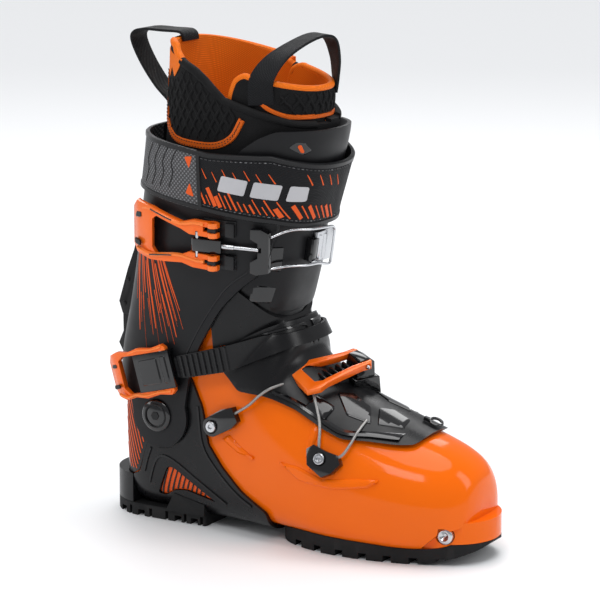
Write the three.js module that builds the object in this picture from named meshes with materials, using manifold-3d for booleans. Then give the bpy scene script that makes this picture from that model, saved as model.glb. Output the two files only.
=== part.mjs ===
// Alpine touring ski boot for the right foot: a three-buckle boot with a walk mode.
// Millimetres, +Z up, toe towards +X, outer (lateral) side towards -Y.
// The origin is on the ground, straight below the cuff's pivot.
import * as THREE from "three";
import { mergeVertices } from "three/addons/utils/BufferGeometryUtils.js";
import Module from "manifold-3d";

const wasm = await Module();
wasm.setup();

// ---- driving dimensions -------------------------------------------------------------------
const PIVOT_Z = 82; // height of the cuff's pivot over the ground
const HEEL_X = -58; // back of the sole
const TOE_X = 250; // front of the sole, which is 308 long
const WELT_R = 34.5; // radius of the standard toe and heel welts
const WELT_TOP = 31;
const SOLE_TOP = 9; // top of the rubber blocks
const TREAD = 4.5; // depth of the tread grooves
const EAR_R = 24; // radius of the cuff round its pivot
const PIVOT_R = 8; // radius of the pivot bushing
const COLLAR_R = 122.4; // the shin tongue stays outside this radius about the pivot
const GUSSET_R = 117.4; // and the ankle gusset inside this one
const FAR = 300; // reach of a cutting block past the boot
const AROUND = 20; // corners of one section of the form
const AROUND_INSIDE = 12; // and of the soft and hidden layers

// Layers over the boot's form, as distances outwards from the lower shell's outer face.
const CAVITY = -3.8;
const LINER = [-8.6, -4.5];
const LINER_TONGUE = [-13.4, -9.2];
const HEEL_CUP = [0.4, 2.2];
const FRAME = [0.5, 3.0];
const FLAP = [0.5, 3.6];
const COLLAR = [3.9, 6.7];
const GUSSET = [0.8, 3.4];
const SHIN = [0.7, 3.4];
const CUFF = [4.0, 6.8];
const SPINE = [7.1, 10.8];
const POWER_STRAP = [7.2, 9.4];
const ANKLE_STRAP = [7.9, 9.9];

// The boot's form: sections fanned from the toe round the heel and up the shaft. Each row is the
// section's heel-side end (x, z), its instep-side end (x, z), its lateral and medial half widths,
// where it is widest (0 at the heel side), and the powers of its two superelliptic halves.
const FORM = [
  [241, 22, 241, 44, 8, 9, 0.5, 2.2, 2.2],
  [240, 15, 240, 54, 18, 19, 0.45, 2.4, 2.3],
  [237, 11, 237, 62, 27, 28, 0.42, 2.7, 2.3],
  [230, 9, 229, 70, 36, 37, 0.4, 3.0, 2.3],
  [218, 8, 216, 77, 44, 43, 0.38, 3.4, 2.3],
  [198, 7, 196, 84, 51, 48, 0.37, 3.8, 2.3],
  [170, 7, 168, 94, 55, 50, 0.36, 4.0, 2.2],
  [140, 7, 140, 105, 56, 48, 0.36, 4.0, 2.2],
  [105, 8, 119, 118, 52, 45, 0.38, 3.8, 2.3],
  [70, 8, 103, 131, 47, 42, 0.42, 3.6, 2.5],
  [35, 8, 97, 142, 43, 40.5, 0.46, 3.4, 2.8],
  [0, 8, 92, 151, 41, 39.5, 0.5, 3.2, 3.0],
  [-27, 9, 88.5, 159, 40.5, 39, 0.5, 3.1, 3.0],
  [-40, 20, 90, 168, 40.5, 39, 0.5, 3.1, 3.0],
  [-42, 45, 93, 177, 40.5, 39, 0.5, 3.1, 3.0],
  [-42.5, 75, 95.5, 186, 41, 39.5, 0.5, 3.1, 3.0],
  [-41.5, 102, 98, 196, 41.5, 40, 0.5, 3.0, 3.0],
  [-38.5, 128, 100, 206, 42, 41, 0.5, 2.9, 2.9],
  [-32, 160, 102, 220, 44, 43, 0.5, 2.7, 2.7],
  [-27, 192, 105.5, 236, 46.5, 45.5, 0.5, 2.5, 2.5],
  [-22, 228, 111, 254, 49.5, 48, 0.5, 2.4, 2.4],
  [-17, 264, 117, 273, 52, 50, 0.5, 2.3, 2.3],
  [-13, 296, 121, 290, 53, 51, 0.5, 2.3, 2.3],
  [-11, 325, 122, 306, 53, 51, 0.5, 2.3, 2.3],
  [-10, 352, 123, 322, 52, 50, 0.5, 2.3, 2.3],
];
const TOP_SECTION = FORM.length - 1;

// ---- materials ----------------------------------------------------------------------------
const material = (color, roughness, metalness = 0) =>
  new THREE.MeshStandardMaterial({ color, roughness, metalness });
const LOOKS = {
  orange: material(0xe8650a, 0.18),
  graphite: material(0x26272b, 0.45),
  black: material(0x101114, 0.25),
  rubber: material(0x0e0e10, 0.8),
  lever: material(0xf25c0c, 0.25),
  steel: material(0xc4c7cc, 0.25, 1),
  fabric: material(0x1a1a1d, 0.9),
  webbing: material(0x151517, 0.85),
  foam: material(0x3a3a3d, 0.95),
};

// ---- solids -------------------------------------------------------------------------------
function solid(geometry) {
  const bare = new THREE.BufferGeometry();
  bare.setAttribute("position", geometry.getAttribute("position").clone());
  if (geometry.index) bare.setIndex(geometry.index.clone());
  const merged = mergeVertices(bare, 1e-4);
  const made = new wasm.Manifold(
    new wasm.Mesh({
      numProp: 3,
      vertProperties: merged.attributes.position.array,
      triVerts: new Uint32Array(merged.index.array),
    }),
  );
  if (made.volume() < 0) throw new Error("a solid is inside out");
  return made;
}

function geometryOf(made) {
  const { numProp, numVert, vertProperties, triVerts } = made.getMesh();
  const corners = new Float32Array(numVert * 3);
  for (let i = 0; i < numVert; i++) {
    corners.set(vertProperties.subarray(i * numProp, i * numProp + 3), i * 3);
  }
  return new THREE.BufferGeometry()
    .setAttribute("position", new THREE.BufferAttribute(corners, 3))
    .setIndex(new THREE.BufferAttribute(new Uint32Array(triVerts), 1));
}

const union = (...solids) => solids.reduce((all, one) => all.add(one));
const placed = (made, frame) => solid(geometryOf(made).applyMatrix4(frame));

// Closes a stack of rings, each the same number of [x, y, z] points, into one solid.
function loft(rings) {
  const n = rings[0].length;
  const last = rings.length - 1;
  const centre = (ring) => ring.reduce((sum, p) => sum.map((v, k) => v + p[k] / n), [0, 0, 0]);
  const points = [...rings.flat(), centre(rings[0]), centre(rings[last])];
  const faces = [];
  for (let i = 0; i < n; i++) {
    const j = (i + 1) % n;
    for (let r = 0; r < last; r++) {
      const [a, b, c, d] = [r * n + i, r * n + j, (r + 1) * n + j, (r + 1) * n + i];
      faces.push(a, b, c, a, c, d);
    }
    faces.push(points.length - 2, j, i, points.length - 1, last * n + i, last * n + j);
  }
  const position = new THREE.BufferAttribute(new Float32Array(points.flat()), 3);
  const geometry = new THREE.BufferGeometry().setAttribute("position", position);
  geometry.setIndex(faces);
  return solid(geometry);
}

function box(x0, x1, y0, y1, z0, z1) {
  const geometry = new THREE.BoxGeometry(x1 - x0, y1 - y0, z1 - z0);
  return solid(geometry.translate((x0 + x1) / 2, (y0 + y1) / 2, (z0 + z1) / 2));
}

// Round bars along Y and along Z.
function barY(x, z, y0, y1, radius, corners = 20) {
  const geometry = new THREE.CylinderGeometry(radius, radius, y1 - y0, corners);
  return solid(geometry.translate(x, (y0 + y1) / 2, z));
}

function barZ(x, y, z0, z1, radius, corners = 20, topRadius = radius) {
  const geometry = new THREE.CylinderGeometry(topRadius, radius, z1 - z0, corners);
  return solid(geometry.rotateX(Math.PI / 2).translate(x, y, (z0 + z1) / 2));
}

// A block whose outline is drawn in the side view, as [x, z] points, from y0 to y1.
function sideBlock(outline, y0 = -FAR, y1 = FAR) {
  const shape = new THREE.Shape(outline.map(([x, z]) => new THREE.Vector2(x, z)));
  const geometry = new THREE.ExtrudeGeometry(shape, { depth: y1 - y0, bevelEnabled: false });
  return solid(geometry.rotateX(Math.PI / 2).translate(0, y1, 0));
}

// A block whose outline is drawn in the plan view, as [x, y] points with optional holes.
function planBlock(outline, z0, z1, holes = []) {
  const points = (list) => list.map(([x, y]) => new THREE.Vector2(x, y));
  const shape = new THREE.Shape(points(outline));
  for (const hole of holes) shape.holes.push(new THREE.Path(points(hole)));
  const geometry = new THREE.ExtrudeGeometry(shape, { depth: z1 - z0, bevelEnabled: false });
  return solid(geometry.translate(0, 0, z0));
}

// Points of an arc about (x, z), from one angle in degrees to another.
function arc(x, z, radius, from, to, steps = 8) {
  return Array.from({ length: steps + 1 }, (_, i) => {
    const angle = THREE.MathUtils.degToRad(from + ((to - from) * i) / steps);
    return [x + radius * Math.cos(angle), z + radius * Math.sin(angle)];
  });
}

// A round wire along a smooth line through points.
function wire(points, radius, steps, corners = 6, tension = 0.5) {
  const places = points.map((p) => new THREE.Vector3(...p));
  const path = new THREE.CatmullRomCurve3(places, false, "catmullrom", tension);
  const round = arc(0, 0, radius, 0, 360, corners).slice(0, -1);
  const section = new THREE.Shape(round.map((p) => new THREE.Vector2(...p)));
  return solid(new THREE.ExtrudeGeometry(section, { steps, bevelEnabled: false, extrudePath: path }));
}

// ---- the form -----------------------------------------------------------------------------
// A row of FORM at any place between its rows, by Catmull-Rom.
function formAt(s) {
  const i = Math.min(Math.max(Math.floor(s), 0), TOP_SECTION - 1);
  const t = s - i;
  const row = (k) => FORM[Math.min(Math.max(k, 0), TOP_SECTION)];
  const [p, q, r, u] = [row(i - 1), row(i), row(i + 1), row(i + 2)];
  return q.map((v, k) => {
    const slope = r[k] - p[k];
    const bend = 2 * p[k] - 5 * v + 4 * r[k] - u[k];
    const twist = 3 * (v - r[k]) + u[k] - p[k];
    return v + 0.5 * t * (slope + t * (bend + t * twist));
  });
}

// The outward directions of the heel-side and instep-side ends, in the side view.
function outwards(s) {
  const [a, b] = [formAt(Math.max(s - 0.05, 0)), formAt(Math.min(s + 0.05, TOP_SECTION))];
  const heel = new THREE.Vector2(a[1] - b[1], b[0] - a[0]).normalize();
  const instep = new THREE.Vector2(b[3] - a[3], a[2] - b[2]).normalize();
  return [heel, instep];
}

// A point of the form: angle 0 at the heel side, 90 degrees lateral, 180 at the instep, 270 medial.
function formPoint(s, angle, offset) {
  const [bx, bz, tx, tz, lateral, medial, widest, low, high] = formAt(s);
  const [heel, instep] = outwards(s);
  const [c, sn] = [Math.cos(angle), Math.sin(angle)];
  const power = 2 / (c > 0 ? low : high);
  const reach = Math.abs(c) ** power;
  const along = c > 0 ? widest * (1 - reach) : widest + (1 - widest) * reach;
  const half = (sn > 0 ? lateral : medial) + offset;
  const [x0, z0] = [bx + heel.x * offset, bz + heel.y * offset];
  const [x1, z1] = [tx + instep.x * offset, tz + instep.y * offset];
  return [x0 + (x1 - x0) * along, -Math.sign(sn) * half * Math.abs(sn) ** power, z0 + (z1 - z0) * along];
}

function ring(s, offset, around) {
  return Array.from({ length: around }, (_, i) => formPoint(s, (2 * Math.PI * i) / around, offset));
}

// The form as a closed solid between two sections. The offset is a number or a function of s.
function formSolid(offset, s0 = 0, s1 = TOP_SECTION, around = AROUND) {
  const places = Array.from({ length: s1 - s0 + 1 }, (_, i) => s0 + i);
  return loft(places.map((s) => ring(s, typeof offset === "function" ? offset(s) : offset, around)));
}

// The space between two offsets of the form, kept inside an outline in the side view.
function layer([inner, outer], block, s0 = 0, s1 = TOP_SECTION, around = AROUND) {
  return formSolid(outer, s0, s1, around).subtract(formSolid(inner, s0, s1, around)).intersect(block);
}

// Views of the form: the two axes seen, and the range of angles that faces the viewer.
const VIEWS = {
  lateral: { axes: [0, 2], low: 0.02, high: Math.PI - 0.02 },
  medial: { axes: [0, 2], low: Math.PI + 0.02, high: 2 * Math.PI - 0.02 },
  front: { axes: [1, 2], low: Math.PI / 2, high: 1.5 * Math.PI },
  top: { axes: [0, 1], low: Math.PI / 2, high: 1.5 * Math.PI },
};

// The point of an offset form seen at (u, v) in a view.
function spotOn(view, u, v, offset) {
  const { axes, low, high } = VIEWS[view];
  let best = [12, (low + high) / 2];
  let least = Infinity;
  for (let span = 12; span > 1e-4; span *= 0.6) {
    const centre = best;
    for (let i = -4; i <= 4; i++) {
      for (let j = -4; j <= 4; j++) {
        const s = THREE.MathUtils.clamp(centre[0] + (i * span) / 4, 0, TOP_SECTION);
        const angle = THREE.MathUtils.clamp(centre[1] + (j * span) / 30, low, high);
        const p = formPoint(s, angle, offset);
        const miss = Math.hypot(p[axes[0]] - u, p[axes[1]] - v);
        if (miss < least) [least, best] = [miss, [s, angle]];
      }
    }
  }
  return new THREE.Vector3(...formPoint(...best, offset));
}

// A frame whose X points along a direction and whose Z points roughly outwards.
function frameAlong(origin, direction, out) {
  const x = new THREE.Vector3(...direction).normalize();
  const y = new THREE.Vector3(...out).cross(x).normalize();
  return new THREE.Matrix4().makeBasis(x, y, new THREE.Vector3().crossVectors(x, y)).setPosition(...origin);
}

// A frame on the form: local X along `turn` degrees in the view, local Z outwards.
function formFrame(view, u, v, turn, lift = 0) {
  const [c, s] = [Math.cos(THREE.MathUtils.degToRad(turn)), Math.sin(THREE.MathUtils.degToRad(turn))];
  const step = (du, dv) => spotOn(view, u + du, v + dv, lift).sub(spotOn(view, u - du, v - dv, lift));
  const along = step(3 * c, 3 * s);
  const across = step(-3 * s, 3 * c);
  const out = new THREE.Vector3().crossVectors(along, across).multiplyScalar(view === "medial" ? -1 : 1);
  return frameAlong(spotOn(view, u, v, lift), along, out);
}

// The line of an offset form in a side frame's XZ plane, from local x0 to x1.
function contour(frame, turn, offset, x0, x1, steps = 8) {
  const origin = new THREE.Vector3().setFromMatrixPosition(frame);
  const back = frame.clone().invert();
  const [c, s] = [Math.cos(THREE.MathUtils.degToRad(turn)), Math.sin(THREE.MathUtils.degToRad(turn))];
  return Array.from({ length: steps + 1 }, (_, i) => {
    const t = x0 + ((x1 - x0) * i) / steps;
    const spot = spotOn("lateral", origin.x + t * c, origin.z + t * s, offset).applyMatrix4(back);
    return [spot.x, spot.z];
  });
}

// A plate that follows the boot's lateral side between two offsets, trimmed by a local plan outline.
function wrapped(frame, turn, [inner, outer], [x0, x1], outline) {
  const low = contour(frame, turn, inner, x0, x1);
  const high = contour(frame, turn, outer, x0, x1);
  return sideBlock([...low, ...high.reverse()]).intersect(planBlock(outline, -FAR, FAR));
}

const rectangle = (x0, x1, y0, y1) => [[x0, y0], [x1, y0], [x1, y1], [x0, y1]];
const at = (frame, x, y, z) => new THREE.Vector3(x, y, z).applyMatrix4(frame).toArray();

const group = new THREE.Group();
function add(name, made, look) {
  const mesh = new THREE.Mesh(geometryOf(made), LOOKS[look]);
  mesh.name = name;
  group.add(mesh);
}

// ---- soles --------------------------------------------------------------------------------
// The standard plan of a welt: an arc of WELT_R that runs into straight, slightly tapering sides.
function heelPlan(front) {
  return [...arc(HEEL_X + WELT_R, 0, WELT_R, 90, 270, 12), [front, -WELT_R], [front, WELT_R]];
}

function toePlan(back) {
  return [...arc(TOE_X - WELT_R, 0, WELT_R, -90, 90, 12), [back, WELT_R + 4], [back, -WELT_R - 4]];
}

// Grooves across the sole at the given x, cut from below.
function treads(places, width) {
  return union(...places.map((x) => box(x, x + width, -FAR, FAR, -1, TREAD)));
}

function outsoleHeel() {
  const block = planBlock(heelPlan(33), 0, SOLE_TOP);
  const wing = [[0, SOLE_TOP - 1], [33, SOLE_TOP - 1], [33, 22.5], [17, 25.5], [8, 23.5]];
  const wraps = [sideBlock(wing, -37, 0), sideBlock(wing, 0, 37)];
  const around = formSolid(FRAME[1] + 0.4, 8, 16);
  return union(block, ...wraps).subtract(around).subtract(treads([-44, -26, 6, 20], 6));
}

function outsoleToe() {
  const plan = [
    [94, -30], [112, -42], [140, -49], [170, -48], [198, -42], ...arc(TOE_X - WELT_R, 0, WELT_R, -62, 62, 10),
    [198, 41], [170, 45], [140, 42], [112, 36], [94, 28],
  ];
  const rocker = sideBlock([[92, 12], [94, 3], [100, 0], [206, 0], [228, 4], [251, 13], [251, 40], [92, 40]]);
  const low = planBlock(plan, 0, 15.4).intersect(rocker);
  const shell = formSolid(0.4, 0, 11);
  const middleGroove = box(90, FAR, -3, 3, -1, TREAD);
  return low.subtract(shell).subtract(treads([112, 130, 148, 166, 184, 202, 220], 6)).subtract(middleGroove);
}

// The heel's ledge, which carries the rear binding fitting.
function heelWelt() {
  const ledge = planBlock(heelPlan(0), SOLE_TOP + 0.4, WELT_TOP);
  const rear = ledge.intersect(box(-FAR, -30.4, -FAR, FAR, 0, FAR));
  return rear.subtract(formSolid(HEEL_CUP[1] + 0.4, 8, 18)).subtract(heelInsertBlock(0.3));
}

function heelInsertBlock(gap) {
  return box(HEEL_X - 1, HEEL_X + 3 + gap, -11 - gap, 11 + gap, 11 - gap, 29 + gap);
}

function heelInsert() {
  const slots = [-5, 5].map((y) => box(HEEL_X - 2, HEEL_X + 1.8, y - 1.6, y + 1.6, 16, 26));
  const screw = barZ(0, 0, -1, 1, 2.2, 12);
  const turned = solid(geometryOf(screw).rotateY(Math.PI / 2).translate(HEEL_X + 0.4, 0, 13.6));
  const plate = box(HEEL_X + 0.4, HEEL_X + 3, -11, 11, 11, 29);
  return slots.reduce((all, slot) => all.subtract(slot), plate).subtract(turned);
}

// ---- lower shell --------------------------------------------------------------------------
// The floor of the cavity, high at the toe, where the binding sockets are.
const floor = (rise) => [
  [-FAR, 12.5 + rise], [194, 12.5 + rise], [206, 33 + rise], [FAR, 33 + rise],
  [FAR, 2 * FAR], [-FAR, 2 * FAR],
];

function socketRecess(side, gap) {
  return barY(226, 22, side > 0 ? -40 : 28.4, side > 0 ? -28.4 : 40, 6.2 + gap, 16);
}

function lowerShell() {
  const outline = [
    [-70, 106], [-24, 108], [6, 122], [26, 146], [40, 156], [48, 152], [56, 136], [72, 130], [FAR, 134],
    [FAR, -10], [-70, -10],
  ];
  const outer = formSolid(0).add(planBlock(toePlan(206), 15.8, WELT_TOP));
  const below = sideBlock([[206, -10], [FAR, -10], [FAR, WELT_TOP - 2], [216, WELT_TOP - 2], [206, 14]])
    .subtract(planBlock(toePlan(190), -20, 60));
  const cavity = formSolid(CAVITY, 2, TOP_SECTION, AROUND_INSIDE).intersect(sideBlock(floor(0)));
  const throat = planBlock([...arc(162, 0, 15, -90, 90, 6), [80, 22], [80, -22]], 60, 200);
  const made = outer.subtract(below).subtract(cavity).subtract(throat).intersect(sideBlock(outline));
  const recesses = socketRecess(1, 0.3).add(socketRecess(-1, 0.3));
  return made.subtract(recesses).subtract(pivotHoles(PIVOT_R + 0.4));
}

function pivotHoles(radius) {
  return barY(0, PIVOT_Z, -FAR, FAR, radius, 20);
}

// The conical socket that a binding's pin holds, set in the toe welt.
function toeSocket(side) {
  const profile = [[0, 0], [6.2, 0], [6.2, 4.6], [4.4, 5.4], [3.6, 5.4], [1.2, 2.4], [0, 2.4]];
  const geometry = new THREE.LatheGeometry(profile.map((p) => new THREE.Vector2(...p)), 16);
  return solid(geometry.rotateX(side > 0 ? Math.PI : 0).translate(226, -side * 29, 22));
}

function heelCup() {
  const low = WELT_TOP + 0.4;
  const outline = [[-70, low], [-30.4, low], [-22, 36], [-15.5, 52.5], [-9.5, 66.5], [-9.5, 103], [-70, 103]];
  return layer(HEEL_CUP, sideBlock(outline), 8, 20);
}

// The black A-shaped frame that joins the heel to the forefoot, on both sides and under the arch.
function heelFrame() {
  const outline = [
    [-30, 0], [-30, 31], [-21, 35], [-15, 52], [-9, 66], [-9, 100], [4, 112], [18, 121], [27, 111], [36, 91],
    [41, 65], [53, 50], [70, 35], [84, 27], [92.8, 22], [92.8, 0],
  ];
  const window = [[-7, 20], [5, 43], [10, 43], [46, 21.5], [20, 26.5], [9, 25], [-1, 19]];
  const made = layer(FRAME, sideBlock(outline), 7, 17).subtract(sideBlock(window));
  const anchorRoom = placed(barZ(0, 0, -9, 9, 7.8, 16), ANCHORS.rear);
  const earRoom = layer([FRAME[1] - 0.6, 20], barY(0, PIVOT_Z, -FAR, FAR, EAR_R + 1.5, 20), 6, 20);
  return made.subtract(pivotHoles(PIVOT_R + 0.4)).subtract(anchorRoom).subtract(earRoom);
}

// The striped panel behind the frame's window.
function windowPanel(side) {
  const outline = [[-5.8, 20.8], [5.5, 42.4], [9.8, 42.4], [43.6, 22.4], [20, 27], [8.8, 25.6], [-1.2, 19.8]];
  const [y0, y1] = side > 0 ? [-FAR, 0] : [0, FAR];
  return layer([0.4, 1.6], sideBlock(outline, y0, y1), 7, 17);
}

function bootBoard() {
  const plan = [
    ...arc(-8, 0, 20, 90, 270, 8), [60, -22], [130, -36], [180, -32], [180, 28], [130, 30], [60, 20],
  ];
  const plate = planBlock(plan, 13, 17).intersect(formSolid(CAVITY - 0.5, 3, 14, AROUND_INSIDE));
  return plate.subtract(box(20, 60, -6, 6, 0, 30)).subtract(box(90, 150, -8, 8, 0, 30));
}

// ---- tongues ------------------------------------------------------------------------------
// The lower tongue is a thin flap on the foot that grows outwards into the bellows collar.
function tongueFlare(k, gap = 0) {
  return (s) => gap + THREE.MathUtils.lerp(FLAP[k], COLLAR[k], THREE.MathUtils.smoothstep(s, 8.9, 10.1));
}

const clearOfTongue = (made) => made.subtract(formSolid(tongueFlare(1, 0.4), 3, 18));

function tongueLower() {
  const outline = [
    [52, 126], [55, 121], [68, 108], [88, 107], [113, 100], [137, 89], [151, 84], [170, 83.5], [189, 82],
    [200, 82], [203, 88], [203, 140], [130, 170], [106, 157], [93, 156.5], [84, 153], [71, 146], [61, 138],
  ];
  return layer([tongueFlare(0), tongueFlare(1)], sideBlock(outline), 3, 15);
}

function tongueGusset() {
  const outline = [
    [46, 134], [54, 140], [60, 137], [74, 136], [90, 138], ...arc(0, PIVOT_Z, GUSSET_R, 30, 56, 7), [44, 166],
  ];
  return layer(GUSSET, sideBlock(outline), 9, 20).intersect(formSolid(tongueFlare(0, -0.4), 9, 20));
}

function tongueShin() {
  const outline = [
    ...arc(0, PIVOT_Z, COLLAR_R, 60, 20, 8), [FAR, 150], [FAR, 293], [99, 295], [88, 290], [75, 281],
    [64, 262], [60, 230],
  ];
  return layer(SHIN, sideBlock(outline), 11, 24);
}

// ---- cuff ---------------------------------------------------------------------------------
function cuff() {
  const outline = [
    ...arc(1, PIVOT_Z, EAR_R, 20, -160, 12), [-26, 96], [-60, 112], [-60, 262], [20, 256], [62, 248],
    [97, 238], [96, 226], [85, 194], [71, 183], [56, 168], [49, 158], [36, 136], [28, 116],
  ];
  const catchRoom = box(-80, -30, -9, 9, 80, 119);
  return layer(CUFF, sideBlock(outline), 6, 24).subtract(pivotHoles(PIVOT_R + 0.4)).subtract(catchRoom);
}

function cuffSpine() {
  const outline = [[-90, 122], [-20, 122], [-10, 236], [-90, 236]];
  return layer(SPINE, sideBlock(outline, -13, 13), 14, 22);
}

// The bushing that the cuff turns on: a stepped disc through cuff, frame and shell.
function pivotBushing(side) {
  const out = Math.abs(spotOn(side > 0 ? "lateral" : "medial", 0, PIVOT_Z, 0).y);
  const profile = [[0, -3.6], [7.6, -3.6], [7.6, 7.4], [12, 7.4], [12, 8.6], [10.6, 9.6], [0, 9.6]];
  const geometry = new THREE.LatheGeometry(profile.map(([r, h]) => new THREE.Vector2(r, out + h)), 24);
  return solid(geometry.rotateX(side > 0 ? Math.PI : 0).translate(0, 0, PIVOT_Z));
}

// ---- liner --------------------------------------------------------------------------------
// A wedge free of liner about the pivot leaves the shaft room to swing.
const FOOT_RAYS = [180, 33];
const SHAFT_RAYS = [118, 60];
const ray = (angle, reach) => arc(0, PIVOT_Z, reach, angle, angle, 1)[0];

const LINER_TOP = {
  lateral: [
    [125, 296], [104, 300], [82, 307], [70, 311], [57, 315], [42, 328], [33, 334], [20, 339], [7, 350],
  ],
  medial: [[125, 297], [100, 305], [85, 314], [70, 326], [50, 338], [25, 348], [7, 352]],
};

function linerFoot() {
  const outline = [[0, PIVOT_Z], ray(FOOT_RAYS[1], 400), [FAR, 0], [-FAR, 0], ray(FOOT_RAYS[0], FAR)];
  const inner = formSolid(LINER[0], 4, 20, AROUND_INSIDE).intersect(sideBlock(floor(9)));
  const outer = formSolid(LINER[1], 3, 20, AROUND_INSIDE).intersect(sideBlock(floor(5)));
  return outer.subtract(inner).intersect(sideBlock(outline)).subtract(pivotHoles(5));
}

function linerShaft() {
  const half = (top, y0, y1) => {
    const sides = [[0, 134], ray(SHAFT_RAYS[1], 122), [FAR, 205]];
    return sideBlock([...sides, ...top, [-60, 360], [-80, 156], ray(SHAFT_RAYS[0], 80)], y0, y1);
  };
  const block = half(LINER_TOP.lateral, -FAR, 0).add(half(LINER_TOP.medial, 0, FAR));
  return layer(LINER, block, 9, 24, AROUND_INSIDE).subtract(pivotHoles(5));
}

function linerTongue() {
  const outline = [[56, 186], [60, 300], [62, 322], [68, 331.5], [122, 319.2], [200, 301.5], [200, 200]];
  return layer(LINER_TONGUE, sideBlock(outline), 9, 24, AROUND_INSIDE);
}

// A flat band of webbing bent along points in its own XZ plane.
function webbing(points, thickness, halfWidth, steps = 26) {
  const line = new THREE.SplineCurve(points.map((p) => new THREE.Vector2(...p)));
  const side = (sign) => Array.from({ length: steps + 1 }, (_, i) => {
    const [at, way] = [line.getPoint(i / steps), line.getTangent(i / steps)];
    return [at.x - (sign * way.y * thickness) / 2, at.y + (sign * way.x * thickness) / 2];
  });
  return sideBlock([...side(-1), ...side(1).reverse()], -halfWidth, halfWidth);
}

function pullLoopRear() {
  const path = [
    [-2, 352.2], [-14, 354], [-31, 355.4], [-40.5, 353.4], [-42.5, 347], [-35, 332], [-23, 316], [-3, 301],
  ];
  const made = webbing(path, 1.8, 10);
  return made.subtract(formSolid(LINER[1] + 0.4, 20));
}

function pullLoopFront() {
  const path = [
    [-33.5, 316], [-32.5, 330], [-20, 343], [0, 352.5], [18, 357], [29, 353.5], [34, 340], [34.5, 318],
  ];
  const made = webbing(path, 1.8, 9);
  const frame = new THREE.Matrix4().makeRotationZ(1.218).setPosition(95.4, -8.5, 0);
  return placed(made, frame).subtract(formSolid(LINER_TONGUE[1] + 0.4, 18));
}

// ---- power strap --------------------------------------------------------------------------
const STRAP_BAND = [
  [-90, 247], [-20, 247], [30, 240], [69, 234], [96, 230], [113, 225], [170, 220], [170, 262], [127, 270],
  [99, 279], [54, 279], [31, 282], [-16, 287], [-90, 292],
];
const STRAP_SEAM = 44; // x of the seam between the strap and its mesh panel, on the lateral side

function powerStrap() {
  const panelRoom = box(-FAR, STRAP_SEAM + 0.3, -FAR, 0.3, 0, 2 * FAR);
  return layer(POWER_STRAP, sideBlock(STRAP_BAND), 17, 24).subtract(panelRoom);
}

function strapPanel() {
  const lateralRear = box(-FAR, STRAP_SEAM, -FAR, 0, 0, 2 * FAR);
  return layer(POWER_STRAP, sideBlock(STRAP_BAND), 17, 24).intersect(lateralRear);
}

// ---- screws and anchors -------------------------------------------------------------------
function socketScrew(radius, height) {
  const socket = barZ(0, 0, height - 1.4, height + 1, radius * 0.42, 6);
  return barZ(0, 0, 0, height, radius, 20, radius * 0.86).subtract(socket);
}

const ANCHORS = {
  rear: formFrame("lateral", 46, 79, 31),
  front: formFrame("lateral", 140, 69, 0),
  medial: formFrame("medial", 122, 72, 0),
};
const ANCHOR_TOP = 5.4;

// A plastic block on the shell that holds a cable's end under a screw.
function anchor(which, outline) {
  const block = planBlock(outline, -6, ANCHOR_TOP).subtract(barZ(0, 0, ANCHOR_TOP - 1.6, 9, 5, 20));
  return placed(block, which).subtract(formSolid(0.4, 3, 12)).subtract(cables());
}

function anchorRear() {
  return anchor(ANCHORS.rear, [...arc(0, 0, 7.4, 80, 280, 8), [15, -8], [22, -6], [23, 5], [14, 7.4]]);
}

function anchorFront() {
  const outline = [[-9, -5], [3, -12.5], [10, -9], [16, -2], [13, 4], [4, 6], [-6, 9.5], [-11, 6]];
  return anchor(ANCHORS.front, outline);
}

function anchorMedial() {
  return anchor(ANCHORS.medial, [...arc(0, 0, 7.5, 100, 260, 8), [8, -8], [12, 0], [8, 8]]);
}

function anchorScrew(which) {
  const lifted = new THREE.Matrix4().makeTranslation(0, 0, ANCHOR_TOP - 1.2);
  return placed(socketScrew(4.6, 3), which.clone().multiply(lifted));
}

// ---- forefoot buckle ----------------------------------------------------------------------
const FORE_FRAME = frameAlong([136, 7, 128], [22, 41, 10.5], [0.14, -0.32, 0.94]);
const FORE_PIN_R = 1.5;

function forefootLever() {
  const outline = [
    [-52, -12], [-44, -17], [-6, -11.5], [3, -11.5], [6, -8], [6, 8], [3, 11.5], [-6, 11.5], [-40, 17],
    [-50, 15],
  ];
  const hole = [[-43, -8], [-38, -11.5], [-10, -7.4], [7, -7.4], [7, 7.4], [-10, 7.4], [-38, 11], [-42, 10]];
  const profile = [[-52, -3], [-38, 0], [-8, -1.8], [4.5, -3], [5, 2.5], [-8, 3], [-36, 4.6], [-52, 1.6]];
  const bar = sideBlock(profile, -30, 30).intersect(planBlock(outline, -20, 20));
  const loop = bar.subtract(planBlock(hole, -20, 20));
  const made = placed(loop.subtract(barY(0, 0, -20, 20, FORE_PIN_R + 0.3, 12)), FORE_FRAME);
  return clearOfTongue(made);
}

function forefootBase() {
  const block = sideBlock([[-7, -26], [9, -28], [9, -1], [3.4, 3.4], [-3.4, 3.4], [-6, -3]], -7, 7)
    .add(sideBlock([[-12, -26], [12, -30], [11, -13], [-10, -9]], -10, 10));
  const made = block.subtract(barY(0, 0, -20, 20, FORE_PIN_R + 0.05, 16));
  return clearOfTongue(placed(made, FORE_FRAME)).subtract(cables());
}

const forefootPin = () => placed(barY(0, 0, -12.6, 12.6, FORE_PIN_R, 16), FORE_FRAME);

// The toothed bar under the lever.
function forefootRack() {
  const bar = sideBlock([[-37, -12], [-12.6, -18], [-12.6, -7.6], [-37, -4]], -6, 6);
  const teeth = [0, 1, 2, 3].map((i) => {
    const [x, z] = [-33.5 + 5 * i, -4.6 - 0.74 * i];
    return sideBlock([[x - 1.6, z - 1], [x + 1.6, z - 1], [x + 0.8, z + 2], [x - 0.8, z + 2]], -6, 6);
  });
  return clearOfTongue(placed(union(bar, ...teeth), FORE_FRAME)).subtract(cables());
}

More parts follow.
